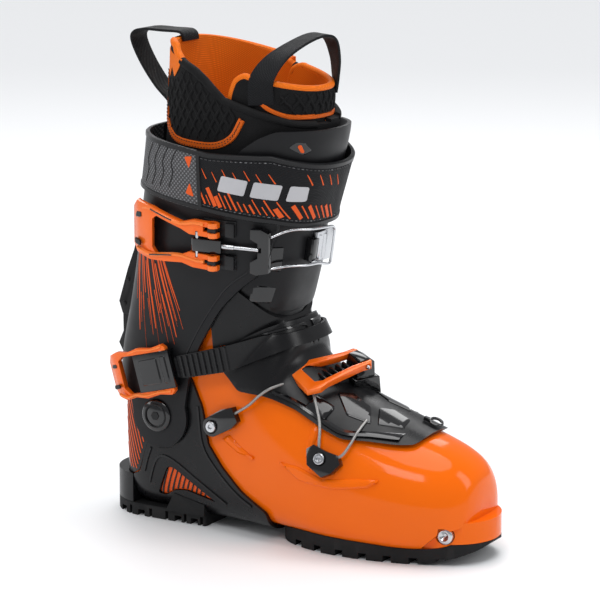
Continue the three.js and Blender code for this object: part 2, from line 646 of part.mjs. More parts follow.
// ---- cables -------------------------------------------------------------------------------
const CABLE_R = 0.9;
const over = (view, u, v, offset) => spotOn(view, u, v, offset).toArray();

function rearCable(radius = CABLE_R) {
  const from = [at(ANCHORS.rear, 9, 0, 2.8), at(ANCHORS.rear, 23, 0.4, 3.6)];
  const on = [[77, 99, 5], [86, 107, 7.4], [95, 114, 8.6], [102, 119.6, 9.6]];
  return wire([...from, ...on.map((p) => over("lateral", ...p))], radius, 14);
}

function frontCable(radius = CABLE_R) {
  const from = [at(ANCHORS.front, -2, 2, 2.8), at(ANCHORS.front, -3, 11, 3.2)];
  const on = [[133.5, 94, 5.2]].map((p) => over("lateral", ...p));
  return wire([...from, ...on, at(FORE_FRAME, -43, -9, -4)], radius, 10);
}

function tongueCable(radius = CABLE_R) {
  const from = [at(ANCHORS.front, 6, 1, 2.8), at(ANCHORS.front, 15, 4, 3.2)];
  const on = [[159, 81, 4.4], [161, 89, 5], [162, 95, 5]].map((p) => over("lateral", ...p));
  return wire([...from, ...on], radius, 10);
}

function medialCable(radius = CABLE_R) {
  const from = [at(ANCHORS.medial, 0, -4, 2.6), at(ANCHORS.medial, 0, -12, 3.2)];
  const on = [[124, 96, 5.2], [126, 104, 6.2]].map((p) => over("medial", ...p));
  return wire([...from, ...on], radius, 8);
}

function cables() {
  return union(...[rearCable, frontCable, tongueCable, medialCable].map((cable) => cable(CABLE_R + 0.35)));
}

// ---- cuff buckle --------------------------------------------------------------------------
// The lever's frame is on the lever's pin axis. Local X points to the toe and Z outwards.
const CUFF_TURN = -4;
const CUFF_BUCKLE = formFrame("lateral", 54, 215, CUFF_TURN);
const CUFF_PIN_Z = 13.4; // height of the lever's pin over the form
const BARREL_PIN_X = -12;
const LEVER_BAND = [11.4, 15];
const cuffLocal = (made) => placed(made, CUFF_BUCKLE);

function cuffBuckleLever() {
  const outline = [
    [-70, -13], [-66, -18], [-52, -19.5], [-24, -15.5], [-15, -17.5], [5, -17.5], [5, 17.5], [-15, 17.5],
    [-24, 14.5], [-50, 20], [-66, 20.5], [-70, 15],
  ];
  const hole = [
    [-50, -10], [-46, -14], [-25, -10], [-18, -6.6], [9, -6.6], [9, 6.6], [-18, 6.6], [-25, 9.5], [-46, 14.5],
    [-50, 11],
  ];
  const plate = wrapped(CUFF_BUCKLE, CUFF_TURN, LEVER_BAND, [-72, 6], outline);
  const knuckles = barY(0, CUFF_PIN_Z, -17.5, 17.5, 4, 12);
  const lugGaps = [-1, 1].map((side) => box(-7, 9, side * 12 - 1.8, side * 12 + 1.8, 0, 30));
  const cuts = [planBlock(hole, -FAR, FAR), ...lugGaps, barY(0, CUFF_PIN_Z, -30, 30, 1.9, 16)];
  const made = cuts.reduce((all, cut) => all.subtract(cut), plate.add(knuckles));
  return cuffLocal(made.subtract(barY(BARREL_PIN_X, CUFF_PIN_Z, -9.8, 9.8, 1.5, 12)));
}

function cuffBuckleBase() {
  const plan = [[-9, -18], [15, -18], [15, -7], [-5, -7], [-5, 7], [15, 7], [15, 18], [-9, 18]];
  const plate = wrapped(CUFF_BUCKLE, CUFF_TURN, [7.1, 8.2], [-10, 16], plan);
  const lugs = [-1, 1].map((side) => box(-3, 3, side * 12 - 1.4, side * 12 + 1.4, 8, 16));
  const stops = [-1, 1].map((side) => box(8, 14.6, side * 12 - 5, side * 12 + 5, 6, 10.6));
  const made = union(plate, ...lugs, ...stops).subtract(barY(0, CUFF_PIN_Z, -30, 30, 1.9, 16));
  return cuffLocal(made).subtract(formSolid(CUFF[1] + 0.3, 14));
}

const cuffLeverPin = (side) => {
  const [near, far] = side > 0 ? [7, 17] : [-17, -7];
  return cuffLocal(barY(0, CUFF_PIN_Z, near, far, 1.6, 16));
};
const barrelPin = () => cuffLocal(barY(BARREL_PIN_X, CUFF_PIN_Z, -9.4, 9.4, 1.2, 12));

// The tension rod runs from the barrel's pin to the yoke.
const YOKE_AT = contour(CUFF_BUCKLE, CUFF_TURN, 12, 0, 34, 1)[1];
const ROD_RUN = [YOKE_AT[0] - BARREL_PIN_X, 0, YOKE_AT[1] - CUFF_PIN_Z];
const ROD_LENGTH = Math.hypot(...ROD_RUN);
const ROD_FRAME = CUFF_BUCKLE.clone().multiply(
  frameAlong([BARREL_PIN_X, 0, CUFF_PIN_Z], ROD_RUN, [0, 0, 1]),
);

function barX(x0, x1, radius, corners = 12) {
  const geometry = new THREE.CylinderGeometry(radius, radius, x1 - x0, corners);
  return solid(geometry.rotateZ(Math.PI / 2).translate((x0 + x1) / 2, 0, 0));
}

function cuffBarrel() {
  const block = sideBlock([[-4, -1], [-2, -2.6], [18, -2.6], [18, 2.6], [-2, 2.6], [-4, 1]], -4.6, 4.6);
  return placed(block.subtract(barY(0, 0, -9, 9, 1.5, 12)).subtract(barX(15, 20, 2.2)), ROD_FRAME);
}

function cuffRod() {
  return placed(barX(15.4, 27, 1.9).add(barX(26, ROD_LENGTH - 1, 1.5)), ROD_FRAME);
}

function cuffYoke() {
  const outline = [
    [27, -9], [27, -17], [31, -18.5], [39, -17], [39, 12], [34, 15], [27, 15], [27, 8], [32, 5], [32, -6],
  ];
  const plate = wrapped(CUFF_BUCKLE, CUFF_TURN, [8.4, 13], [24, 41], outline);
  return cuffLocal(plate).subtract(placed(barX(15, ROD_LENGTH + 1, 2.1), ROD_FRAME));
}

const RACK_FRAME = formFrame("front", 4, 208, 0, SHIN[1] + 0.4);
const HOOK_X = 13; // where the bail's crossbar rests, past the last tooth

function cuffRack() {
  const plate = box(-8, 17, -11.5, 11.5, -3, 3).subtract(box(4, 30, -20, 20, 2, 9));
  const tooth = (x) => sideBlock([[x - 3.6, 1.6], [x + 3.6, 1.6], [x + 0.6, 4], [x - 0.6, 4]], -9, 9);
  const teeth = [-3, 4].map(tooth);
  return placed(union(plate, ...teeth), RACK_FRAME).subtract(formSolid(SHIN[1] + 0.4, 14, 24));
}

function cuffRackBlock() {
  const block = box(-16, -8.4, -8, 8, -4, 5);
  return placed(block, RACK_FRAME).subtract(formSolid(SHIN[1] + 0.4, 14, 24));
}

function cuffBail() {
  const run = (y, z) => {
    const start = at(CUFF_BUCKLE, 39.6, y, contour(CUFF_BUCKLE, CUFF_TURN, 11.4, 0, 39.6, 1)[1][1]);
    const front = [[-36, z + 0.8, 11], [-20, z, 11.5], [-4, z - 1, 11.5]];
    return [start, ...front.map((p) => over("front", ...p))];
  };
  const corner = (y) => [at(RACK_FRAME, HOOK_X - 3, y, 5.4), at(RACK_FRAME, HOOK_X, 0.8 * y, 5.2)];
  const points = [...run(9, 224.5), ...corner(14), ...corner(-14).reverse(), ...run(-14, 198.5).reverse()];
  return wire(points, 1, 32);
}

// ---- ankle buckle -------------------------------------------------------------------------
const ANKLE_TURN = 15;
const ANKLE_BUCKLE = formFrame("lateral", 12, 119, ANKLE_TURN);
const ANKLE_PIN_Z = 12.8;
const ankleLocal = (made) => placed(made, ANKLE_BUCKLE);

function ankleStrap() {
  const outline = [
    [17, 112.2], [27, 113.6], [62, 122], [81, 131], [104, 141], [170, 150], [170, 159], [104, 150.5],
    [84, 148.5], [62, 141], [17, 128],
  ];
  return layer(ANKLE_STRAP, sideBlock(outline), 8, 17).subtract(box(-FAR, 16, 0, FAR, 0, FAR));
}

function ankleHousing() {
  const body = wrapped(ANKLE_BUCKLE, ANKLE_TURN, [7.1, 15.4], [-26, 8], rectangle(-25, 7, -13.6, 13.6));
  const tunnel = wrapped(ANKLE_BUCKLE, ANKLE_TURN, [6, 11.4], [-30, 12], rectangle(-29, 11, -12.8, 12.8));
  const pinHole = barY(0, ANKLE_PIN_Z, -30, 30, 1.65, 16);
  return ankleLocal(body.subtract(tunnel).subtract(pinHole)).subtract(formSolid(CUFF[1] + 0.4, 8, 20));
}

function ankleLever() {
  const outline = [
    [-52, -9], [-49, -15], [-41, -18], [-30, -16.6], [-20, -18.6], [-8, -17], [2, -18.6], [5, -16], [5, 16],
    [2, 18.6], [-8, 17], [-20, 18.6], [-30, 16.6], [-41, 18], [-49, 16], [-52, 11],
  ];
  const hole = [[-41, -9], [-36, -13.9], [9, -13.9], [9, 13.9], [-36, 13.9], [-41, 11]];
  const plate = wrapped(ANKLE_BUCKLE, ANKLE_TURN, [10.8, 15], [-54, 8], outline);
  const pinHole = barY(0, ANKLE_PIN_Z, -30, 30, 1.65, 16);
  return ankleLocal(plate.subtract(planBlock(hole, -FAR, FAR)).subtract(pinHole));
}

const anklePin = () => ankleLocal(barY(0, ANKLE_PIN_Z, -18, 18, 1.6, 16));

function ankleRivet() {
  const rivet = barZ(0, 0, ANKLE_STRAP[1] + 0.4, ANKLE_STRAP[1] + 2.6, 6, 20, 4.6);
  return placed(rivet, formFrame("medial", 27, 123, 0));
}

// ---- walk mechanism, down the middle of the cuff's back --------------------------------------
const LEVER_PIVOT = [-49.5, 170];
const BAR_PIVOT = [-53, 152];
const BACK_PLATE = 12.2; // offset of the bracket's back plate

// Two cheeks on a back plate, with both rivets.
function walkBracket() {
  const outline = [[-36, 196], [-43, 196], [-50, 178], [-58, 153], [-55, 144], [-40, 142]];
  const cheeks = [-1, 1].map((side) => sideBlock(outline, side > 0 ? 5.4 : -7.6, side > 0 ? 7.6 : -5.4));
  const pins = [LEVER_PIVOT, BAR_PIVOT].map((place) => barY(...place, -8.6, 8.6, 1.6, 12));
  const middle = sideBlock([[-90, 142], [-20, 142], [-20, 196], [-90, 196]], -7, 7);
  const back = layer([SPINE[1] + 0.4, BACK_PLATE], middle, 13, 22);
  return union(...cheeks, ...pins).subtract(formSolid(SPINE[1] + 0.4, 13, 22)).add(back);
}

// A flat bar between the cheeks, bored for its rivet.
function swinging(outline, pivot) {
  const bored = sideBlock(outline, -4.9, 4.9).subtract(barY(...pivot, -9, 9, 1.75, 12));
  return bored.subtract(formSolid(BACK_PLATE + 0.4, 13, 22));
}

function walkLever() {
  const outline = [
    [-46.8, 172], [-48.2, 167.4], [-51.4, 167], [-52.6, 170], [-51, 177], [-46.6, 190], [-42.6, 206],
    [-40.8, 206], [-44, 192],
  ];
  return swinging(outline, LEVER_PIVOT);
}

function lockBar() {
  const outline = [
    [-51, 155], [-50.6, 150], [-51.6, 132], [-52.6, 124], [-51.6, 116], [-56, 112.6], [-60.5, 121],
    [-56.4, 130], [-56.6, 149], [-55, 155],
  ];
  return swinging(outline, BAR_PIVOT);
}

function heelCatch() {
  const block = sideBlock([[-40, 88], [-48.6, 92], [-50, 98], [-48.6, 102], [-40, 102]], -8, 8);
  return block.subtract(formSolid(HEEL_CUP[1] + 0.4, 10, 20));
}

// The ring for a gaiter's hook, on the tongue's tip.
function tongueRing() {
  const ring = new THREE.TorusGeometry(4.4, 1.1, 8, 20).rotateX(0.3).translate(0, 0, 2.4);
  const tab = box(-9, -3.6, -2.2, 2.2, 0.6, 2.9);
  return placed(solid(ring).add(tab), formFrame("top", 196, 10, 10, FLAP[1]));
}

const parts = [
  ["outsole_heel", outsoleHeel(), "rubber"],
  ["outsole_toe", outsoleToe(), "rubber"],
  ["heel_welt", heelWelt(), "black"],
  ["heel_insert", heelInsert(), "steel"],
  ["lower_shell", lowerShell(), "orange"],
  ["toe_socket_lateral", toeSocket(1), "steel"],
  ["toe_socket_medial", toeSocket(-1), "steel"],
  ["heel_cup", heelCup(), "graphite"],
  ["heel_frame", heelFrame(), "graphite"],
  ["window_panel_lateral", windowPanel(1), "orange"],
  ["window_panel_medial", windowPanel(-1), "orange"],
  ["boot_board", bootBoard(), "black"],
  ["tongue_lower", tongueLower(), "black"],
  ["tongue_gusset", tongueGusset(), "graphite"],
  ["tongue_shin", tongueShin(), "graphite"],
  ["cuff", cuff(), "graphite"],
  ["cuff_spine", cuffSpine(), "black"],
  ["pivot_bushing_lateral", pivotBushing(1), "black"],
  ["pivot_bushing_medial", pivotBushing(-1), "black"],
  ["liner_foot", linerFoot(), "foam"],
  ["liner_shaft", linerShaft(), "foam"],
  ["liner_tongue", linerTongue(), "foam"],
  ["pull_loop_rear", pullLoopRear(), "webbing"],
  ["pull_loop_front", pullLoopFront(), "webbing"],
  ["power_strap", powerStrap(), "webbing"],
  ["strap_panel", strapPanel(), "fabric"],
  ["anchor_rear", anchorRear(), "black"],
  ["anchor_front", anchorFront(), "black"],
  ["anchor_medial", anchorMedial(), "black"],
  ["anchor_screw_rear", anchorScrew(ANCHORS.rear), "steel"],
  ["anchor_screw_front", anchorScrew(ANCHORS.front), "steel"],
  ["forefoot_lever", forefootLever(), "lever"],
  ["forefoot_base", forefootBase(), "black"],
  ["forefoot_pin", forefootPin(), "steel"],
  ["forefoot_rack", forefootRack(), "black"],
  ["cable_rear", rearCable(), "steel"],
  ["cable_front", frontCable(), "steel"],
  ["cable_tongue", tongueCable(), "steel"],
  ["cable_medial", medialCable(), "steel"],
  ["cuff_buckle_lever", cuffBuckleLever(), "lever"],
  ["cuff_buckle_base", cuffBuckleBase(), "black"],
  ["cuff_lever_pin_upper", cuffLeverPin(1), "steel"],
  ["cuff_lever_pin_lower", cuffLeverPin(-1), "steel"],
  ["cuff_barrel_pin", barrelPin(), "steel"],
  ["cuff_barrel", cuffBarrel(), "black"],
  ["cuff_rod", cuffRod(), "steel"],
  ["cuff_yoke", cuffYoke(), "black"],
  ["cuff_bail", cuffBail(), "steel"],
  ["cuff_rack", cuffRack(), "steel"],
  ["cuff_rack_block", cuffRackBlock(), "black"],
  ["ankle_strap", ankleStrap(), "black"],
  ["ankle_housing", ankleHousing(), "black"],
  ["ankle_lever", ankleLever(), "lever"],
  ["ankle_pin", anklePin(), "steel"],
  ["ankle_strap_rivet", ankleRivet(), "steel"],
  ["walk_bracket", walkBracket(), "black"],
  ["walk_lever", walkLever(), "black"],
  ["lock_bar", lockBar(), "black"],
  ["heel_catch", heelCatch(), "steel"],
  ["tongue_ring", tongueRing(), "black"],
];
for (const [name, made, look] of parts) add(name, made, look);
export default group;
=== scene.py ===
"""Alpine touring ski boot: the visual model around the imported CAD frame.

Lengths are millimetres until a mesh is made. The boot's form is the same family of sections as in
the CAD source, sampled finely here, and each layer of the boot is an offset of that form.
"""
import functools
import math
import random

import bmesh
import bpy
import numpy as np
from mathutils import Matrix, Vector
from mathutils.geometry import delaunay_2d_cdt


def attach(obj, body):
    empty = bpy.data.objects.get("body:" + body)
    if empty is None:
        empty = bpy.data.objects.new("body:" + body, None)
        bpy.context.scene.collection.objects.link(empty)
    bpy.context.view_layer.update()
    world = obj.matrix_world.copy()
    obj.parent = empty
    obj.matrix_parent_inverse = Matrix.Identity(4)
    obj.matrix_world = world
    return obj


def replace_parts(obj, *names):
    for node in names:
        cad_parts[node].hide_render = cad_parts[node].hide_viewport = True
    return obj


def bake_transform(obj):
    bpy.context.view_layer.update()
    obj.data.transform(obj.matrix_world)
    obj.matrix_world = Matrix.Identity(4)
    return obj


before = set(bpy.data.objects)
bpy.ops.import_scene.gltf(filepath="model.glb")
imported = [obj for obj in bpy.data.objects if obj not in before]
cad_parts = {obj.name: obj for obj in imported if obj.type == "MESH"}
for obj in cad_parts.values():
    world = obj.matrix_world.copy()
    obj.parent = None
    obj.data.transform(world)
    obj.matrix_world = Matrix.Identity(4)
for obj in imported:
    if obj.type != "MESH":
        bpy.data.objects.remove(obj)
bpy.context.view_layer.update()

MM = 0.001

# ---- driving dimensions, shared with the CAD source ----
PIVOT_Z = 82
WELT_R = 34.5
WELT_TOP = 31
HEEL_X = -58
TOE_X = 250
EAR_R = 24
COLLAR_R = 122.4
GUSSET_R = 117.4
FAR = 300
FLOOR = 40000
CAVITY = -3.8
LINER = (-9.0, -4.5)
LINER_MIDDLE = -6.6
LINER_TONGUE = (-13.6, -9.4)
HEEL_CUP = (0.4, 2.2)
FRAME = (0.5, 3.0)
FLAP = (0.5, 3.6)
COLLAR = (3.9, 6.7)
GUSSET = (0.8, 3.4)
SHIN = (0.7, 3.4)
CUFF = (4.0, 6.8)
SPINE = (7.1, 10.8)
POWER_STRAP = (7.2, 9.4)
STRAP_FACE = 9.2
ANKLE_STRAP = (7.9, 9.9)
BORE_R = 8.4
CLEARANCE = 0.3
TREAD_TOP = 4.5
RINGS_PER_SECTION = 6
RING_CORNERS = 120
FACE_STEP = 3.0
MOTTLE = 30.0
SIDES = {"lateral": (-FAR, 0), "medial": (0, FAR)}

# Sections of the form, from the toe round the heel and up the shaft: heel-side end (x, z),
# instep-side end (x, z), lateral and medial half widths, place of the widest point, two powers.
FORM = np.array([
    [241, 22, 241, 44, 8, 9, 0.5, 2.2, 2.2],
    [240, 15, 240, 54, 18, 19, 0.45, 2.4, 2.3],
    [237, 11, 237, 62, 27, 28, 0.42, 2.7, 2.3],
    [230, 9, 229, 70, 36, 37, 0.4, 3.0, 2.3],
    [218, 8, 216, 77, 44, 43, 0.38, 3.4, 2.3],
    [198, 7, 196, 84, 51, 48, 0.37, 3.8, 2.3],
    [170, 7, 168, 94, 55, 50, 0.36, 4.0, 2.2],
    [140, 7, 140, 105, 56, 48, 0.36, 4.0, 2.2],
    [105, 8, 119, 118, 52, 45, 0.38, 3.8, 2.3],
    [70, 8, 103, 131, 47, 42, 0.42, 3.6, 2.5],
    [35, 8, 97, 142, 43, 40.5, 0.46, 3.4, 2.8],
    [0, 8, 92, 151, 41, 39.5, 0.5, 3.2, 3.0],
    [-27, 9, 88.5, 159, 40.5, 39, 0.5, 3.1, 3.0],
    [-40, 20, 90, 168, 40.5, 39, 0.5, 3.1, 3.0],
    [-42, 45, 93, 177, 40.5, 39, 0.5, 3.1, 3.0],
    [-42.5, 75, 95.5, 186, 41, 39.5, 0.5, 3.1, 3.0],
    [-41.5, 102, 98, 196, 41.5, 40, 0.5, 3.0, 3.0],
    [-38.5, 128, 100, 206, 42, 41, 0.5, 2.9, 2.9],
    [-32, 160, 102, 220, 44, 43, 0.5, 2.7, 2.7],
    [-27, 192, 105.5, 236, 46.5, 45.5, 0.5, 2.5, 2.5],
    [-22, 228, 111, 254, 49.5, 48, 0.5, 2.4, 2.4],
    [-17, 264, 117, 273, 52, 50, 0.5, 2.3, 2.3],
    [-13, 296, 121, 290, 53, 51, 0.5, 2.3, 2.3],
    [-11, 325, 122, 306, 53, 51, 0.5, 2.3, 2.3],
    [-10, 352, 123, 322, 52, 50, 0.5, 2.3, 2.3],
])
TOP_SECTION = len(FORM) - 1


# ---- the form ----
def form_at(s):
    """Rows of FORM at any places between its rows, by Catmull-Rom."""
    s = np.asarray(s, float)
    i = np.clip(np.floor(s).astype(int), 0, TOP_SECTION - 1)
    t = (s - i)[..., None]
    p, q, r, u = (FORM[np.clip(i + k, 0, TOP_SECTION)] for k in (-1, 0, 1, 2))
    return q + 0.5 * t * (r - p + t * (2 * p - 5 * q + 4 * r - u + t * (3 * (q - r) + u - p)))


def form_point(s, angle, offset=0.0):
    """Points of the form. Angle 0 is the heel side, pi / 2 lateral, pi the instep."""
    s, angle, offset = np.broadcast_arrays(*(np.asarray(v, float) for v in (s, angle, offset)))
    row = form_at(s)
    a, b = form_at(np.clip(s - 0.05, 0, TOP_SECTION)), form_at(np.clip(s + 0.05, 0, TOP_SECTION))
    heel = np.stack([a[..., 1] - b[..., 1], b[..., 0] - a[..., 0]], -1)
    instep = np.stack([b[..., 3] - a[..., 3], a[..., 2] - b[..., 2]], -1)
    heel = heel / np.linalg.norm(heel, axis=-1, keepdims=True)
    instep = instep / np.linalg.norm(instep, axis=-1, keepdims=True)
    c, sn = np.cos(angle), np.sin(angle)
    power = 2 / np.where(c > 0, row[..., 7], row[..., 8])
    reach = np.abs(c) ** power
    widest = row[..., 6]
    along = np.where(c > 0, widest * (1 - reach), widest + (1 - widest) * reach)
    half = np.where(sn > 0, row[..., 4], row[..., 5]) + offset
    x0, z0 = row[..., 0] + heel[..., 0] * offset, row[..., 1] + heel[..., 1] * offset
    x1, z1 = row[..., 2] + instep[..., 0] * offset, row[..., 3] + instep[..., 1] * offset
    y = -np.sign(sn) * half * np.abs(sn) ** power
    return np.stack([x0 + (x1 - x0) * along, y, z0 + (z1 - z0) * along], -1)


# Views of the form: the two axes seen, the range of angles that faces the viewer, and of sections.
VIEWS = {
    "lateral": ((0, 2), (0.03, math.pi - 0.03), (0, TOP_SECTION)),
    "medial": ((0, 2), (math.pi + 0.03, 2 * math.pi - 0.03), (0, TOP_SECTION)),
    "front": ((1, 2), (math.pi / 2, 1.5 * math.pi), (11, TOP_SECTION)),
    "top": ((0, 1), (math.pi / 2, 1.5 * math.pi), (0, 9)),
}


@functools.lru_cache(maxsize=None)
def view_grid(view, offset):
    """A coarse grid of sections and angles over a view, and where each place is seen."""
    axes, (low, high), (first, last) = VIEWS[view]
    s, a = np.meshgrid(np.linspace(first, last, 97), np.linspace(low, high, 49), indexing="ij")
    return s.reshape(-1), a.reshape(-1), form_point(s, a, offset)[..., axes].reshape(-1, 2)


def spots(view, points, offset):
    """Where the points of a view, as (u, v) pairs, lie on an offset of the form."""
    axes, (low, high), (first, last) = VIEWS[view]
    goal = np.asarray(points, float).reshape(-1, 2)
    s_grid, a_grid, seen = view_grid(view, offset)
    nearest = np.concatenate([
        ((part[:, None] - seen[None]) ** 2).sum(-1).argmin(1)
        for part in np.array_split(goal, len(goal) // 400 + 1)
    ])
    s, a = s_grid[nearest], a_grid[nearest]
    for _ in range(14):
        here = form_point(s, a, offset)[:, axes]
        ds = (form_point(np.clip(s + 1e-3, 0, TOP_SECTION), a, offset)[:, axes] - here) / 1e-3
        da = (form_point(s, a + 1e-3, offset)[:, axes] - here) / 1e-3
        miss = goal - here
        det = ds[:, 0] * da[:, 1] - ds[:, 1] * da[:, 0]
        det = np.where(np.abs(det) < 1e-3, 1e-3, det)
        step_s = (miss[:, 0] * da[:, 1] - miss[:, 1] * da[:, 0]) / det
        step_a = (ds[:, 0] * miss[:, 1] - ds[:, 1] * miss[:, 0]) / det
        s = np.clip(s + np.clip(step_s, -0.5, 0.5), first, last)
        a = np.clip(a + np.clip(step_a, -0.1, 0.1), low, high)
    return form_point(s, a, offset)


def around(edge, angles, offset):
    """The line round the shaft where its height is edge(x)."""
    angles = np.asarray(angles, float)
    low, high = np.full(angles.shape, 14.0), np.full(angles.shape, float(TOP_SECTION))
    for _ in range(24):
        middle = (low + high) / 2
        spot = form_point(middle, angles, offset)
        over = spot[..., 2] > edge(spot[..., 0])
        high, low = np.where(over, middle, high), np.where(over, low, middle)
    return form_point((low + high) / 2, angles, offset)


# ---- outlines ----
def arc(x, z, radius, start, end, steps=24):
    """Points of an arc about (x, z), from one angle in degrees to another."""
    angles = np.radians(np.linspace(start, end, steps + 1))
    return [(x + radius * math.cos(t), z + radius * math.sin(t)) for t in angles]


def rounded(outline, radius=3.0, steps=5):
    """The outline with each corner turned by a small curve."""
    made = []
    n = len(outline)
    for i in range(n):
        before, corner, after = (np.array(outline[(i + k) % n], float) for k in (-1, 0, 1))
        reach = [min(radius, 0.45 * np.linalg.norm(p - corner)) for p in (before, after)]
        start = corner + (before - corner) / max(np.linalg.norm(before - corner), 1e-6) * reach[0]
        end = corner + (after - corner) / max(np.linalg.norm(after - corner), 1e-6) * reach[1]
        for t in np.linspace(0, 1, steps):
            made.append(tuple((1 - t) ** 2 * start + 2 * t * (1 - t) * corner + t * t * end))
    return made


def smooth_line(points, steps=8):
    """A Catmull-Rom line through the points, of any dimension."""
    p = np.asarray(points, float)
    p = np.vstack([2 * p[0] - p[1], p, 2 * p[-1] - p[-2]])
    made = []
    for i in range(1, len(p) - 2):
        for t in np.linspace(0, 1, steps, endpoint=False):
            a, b, c, d = p[i - 1:i + 3]
            made.append(b + 0.5 * t * (c - a + t * (2 * a - 5 * b + 4 * c - d + t * (3 * (b - c) + d - a))))
    return np.array(made + [p[-2]])


# ---- meshes ----
def mesh_object(name, vertices, faces):
    """A mesh object in the scene, from vertices in millimetres."""
    mesh = bpy.data.meshes.new(name)
    mesh.from_pydata([tuple(v * MM for v in p) for p in vertices], [], [tuple(f) for f in faces])
    mesh.validate()
    made = bpy.data.objects.new(name, mesh)
    bpy.context.scene.collection.objects.link(made)
    return made


def smooth(made, angle=32):
    """Smooth shading with sharp edges kept past an angle."""
    made.data.polygons.foreach_set("use_smooth", [True] * len(made.data.polygons))
    made.data.set_sharp_from_angle(angle=math.radians(angle))
    return made


def tube_faces(rings, corners, closed_ends=True):
    """The faces of a tube whose vertices are rings of the same number of corners."""
    faces = []
    for low in range(0, (rings - 1) * corners, corners):
        high = low + corners
        for i in range(corners):
            j = (i + 1) % corners
            faces.append((low + i, low + j, high + j, high + i))
    if closed_ends:
        faces.append(tuple(reversed(range(corners))))
        faces.append(tuple(range((rings - 1) * corners, rings * corners)))
    return faces


def form_solid(offset, s0=0, s1=TOP_SECTION):
    """The form as a closed solid between two sections. The offset is a number or a function of s."""
    places = np.linspace(s0, s1, (s1 - s0) * RINGS_PER_SECTION + 1)
    angles = np.linspace(0, 2 * math.pi, RING_CORNERS, endpoint=False)
    rings = [form_point(s, angles, offset(s) if callable(offset) else offset) for s in places]
    return mesh_object("form", np.vstack(rings), tube_faces(len(rings), RING_CORNERS))


def prism(outline, low=-FAR, high=FAR, axes=(0, 2)):
    """A block whose outline is drawn in two axes, extruded along the third."""
    third = 3 - sum(axes)
    n = len(outline)
    vertices = np.zeros((2 * n, 3))
    vertices[:, axes[0]] = [p[0] for p in outline] * 2
    vertices[:, axes[1]] = [p[1] for p in outline] * 2
    vertices[:n, third] = low
    vertices[n:, third] = high
    made = mesh_object("block", vertices, tube_faces(2, n))
    outwards(made)
    return made


def outwards(made):
    """Turns every face of a closed mesh outwards."""
    work = bmesh.new()
    work.from_mesh(made.data)
    bmesh.ops.recalc_face_normals(work, faces=work.faces)
    work.to_mesh(made.data)
    work.free()


def combine(made, tool, operation):
    """Joins or cuts one solid with another, which is used up."""
    change = made.modifiers.new("change", "BOOLEAN")
    change.operation = operation
    change.solver = "MANIFOLD"
    change.object = tool
    graph = bpy.context.evaluated_depsgraph_get()
    result = bpy.data.meshes.new_from_object(made.evaluated_get(graph))
    made.modifiers.clear()
    made.data = result
    bpy.data.objects.remove(tool)
    return made


def cut(made, *tools):
    """Takes solids away from a solid."""
    for tool in tools:
        combine(made, tool, "DIFFERENCE")
    return made


def keep(made, tool):
    """Keeps what a solid shares with another."""
    return combine(made, tool, "INTERSECT")


def join(made, *tools):
    """Adds solids to a solid."""
    for tool in tools:
        combine(made, tool, "UNION")
    return made


def layer(name, skin, outline, s0=0, s1=TOP_SECTION, y0=-FAR, y1=FAR, turn=3.0):
    """The space between two offsets of the form, kept inside an outline in the side view."""
    made = cut(form_solid(skin[1], s0, s1), form_solid(skin[0], s0, s1))
    keep(made, prism(rounded(outline, turn), y0, y1))
    made.name = name
    return made


def bar_y(x, z, y0, y1, radius):
    """A round bar along Y."""
    return prism(arc(x, z, radius, 0, 360, 48)[:-1], y0, y1)


def patch(name, outline, view, low, high, bevel):
    """A raised plate on the form, its outline drawn in a view, from offset low to offset high."""
    edge = []
    corners = rounded(outline, 1.5, 4)
    for a, b in zip(corners, corners[1:] + corners[:1]):
        pieces = max(1, int(math.dist(a, b) / FACE_STEP))
        edge += [tuple(np.array(a) + (np.array(b) - np.array(a)) * k / pieces) for k in range(pieces)]
    edge = np.array(edge)
    if (edge[:, 0] * np.roll(edge[:, 1], -1) - edge[:, 1] * np.roll(edge[:, 0], -1)).sum() < 0:
        edge = edge[::-1]
    way = np.roll(edge, -1, 0) - np.roll(edge, 1, 0)
    way /= np.maximum(np.linalg.norm(way, axis=1, keepdims=True), 1e-6)
    inner = edge + bevel * np.stack([-way[:, 1], way[:, 0]], 1)
    columns, rows = (
        np.arange(low_end + FACE_STEP / 2, high_end, FACE_STEP)
        for low_end, high_end in zip(edge.min(0), edge.max(0))
    )
    n = len(inner)
    points = [Vector(p) for p in inner] + [Vector((x, z)) for x in columns for z in rows]
    triangulated = delaunay_2d_cdt(points, [], [list(range(n))], 1, 1e-4)
    flat, faces = [tuple(p) for p in triangulated[0]], triangulated[2]
    face = spots(view, flat, high)
    rim = spots(view, edge, high - min(bevel, high - low) * 0.8)
    root = spots(view, edge, low)
    made = mesh_object(name, np.vstack([face, rim, root]), faces)
    work = bmesh.new()
    work.from_mesh(made.data)
    work.verts.ensure_lookup_table()
    count = len(flat)
    on_face = [min(range(count), key=lambda k: math.dist(flat[k], corner)) for corner in inner]
    for i in range(n):
        j = (i + 1) % n
        bevelled = (on_face[i], on_face[j], count + j, count + i)
        upright = (count + i, count + j, count + n + j, count + n + i)
        for quad in (bevelled, upright):
            corners = [work.verts[k] for k in quad]
            if len(set(corners)) == 4 and not work.faces.get(corners):
                work.faces.new(corners)
    bmesh.ops.recalc_face_normals(work, faces=work.faces)
    work.to_mesh(made.data)
    work.free()
    probe = made.data.polygons[0]
    away = Vector(spots(view, [flat[faces[0][0]]], high + 5)[0] * MM) - made.data.vertices[faces[0][0]].co
    if probe.normal.dot(away) < 0:
        made.data.flip_normals()
    return smooth(made, 40)


def merged(name, objects):
    """One mesh object from several."""
    work = bmesh.new()
    for one in objects:
        work.from_mesh(one.data)
        bpy.data.objects.remove(one)
    mesh = bpy.data.meshes.new(name)
    work.to_mesh(mesh)
    work.free()
    made = bpy.data.objects.new(name, mesh)
    bpy.context.scene.collection.objects.link(made)
    return made


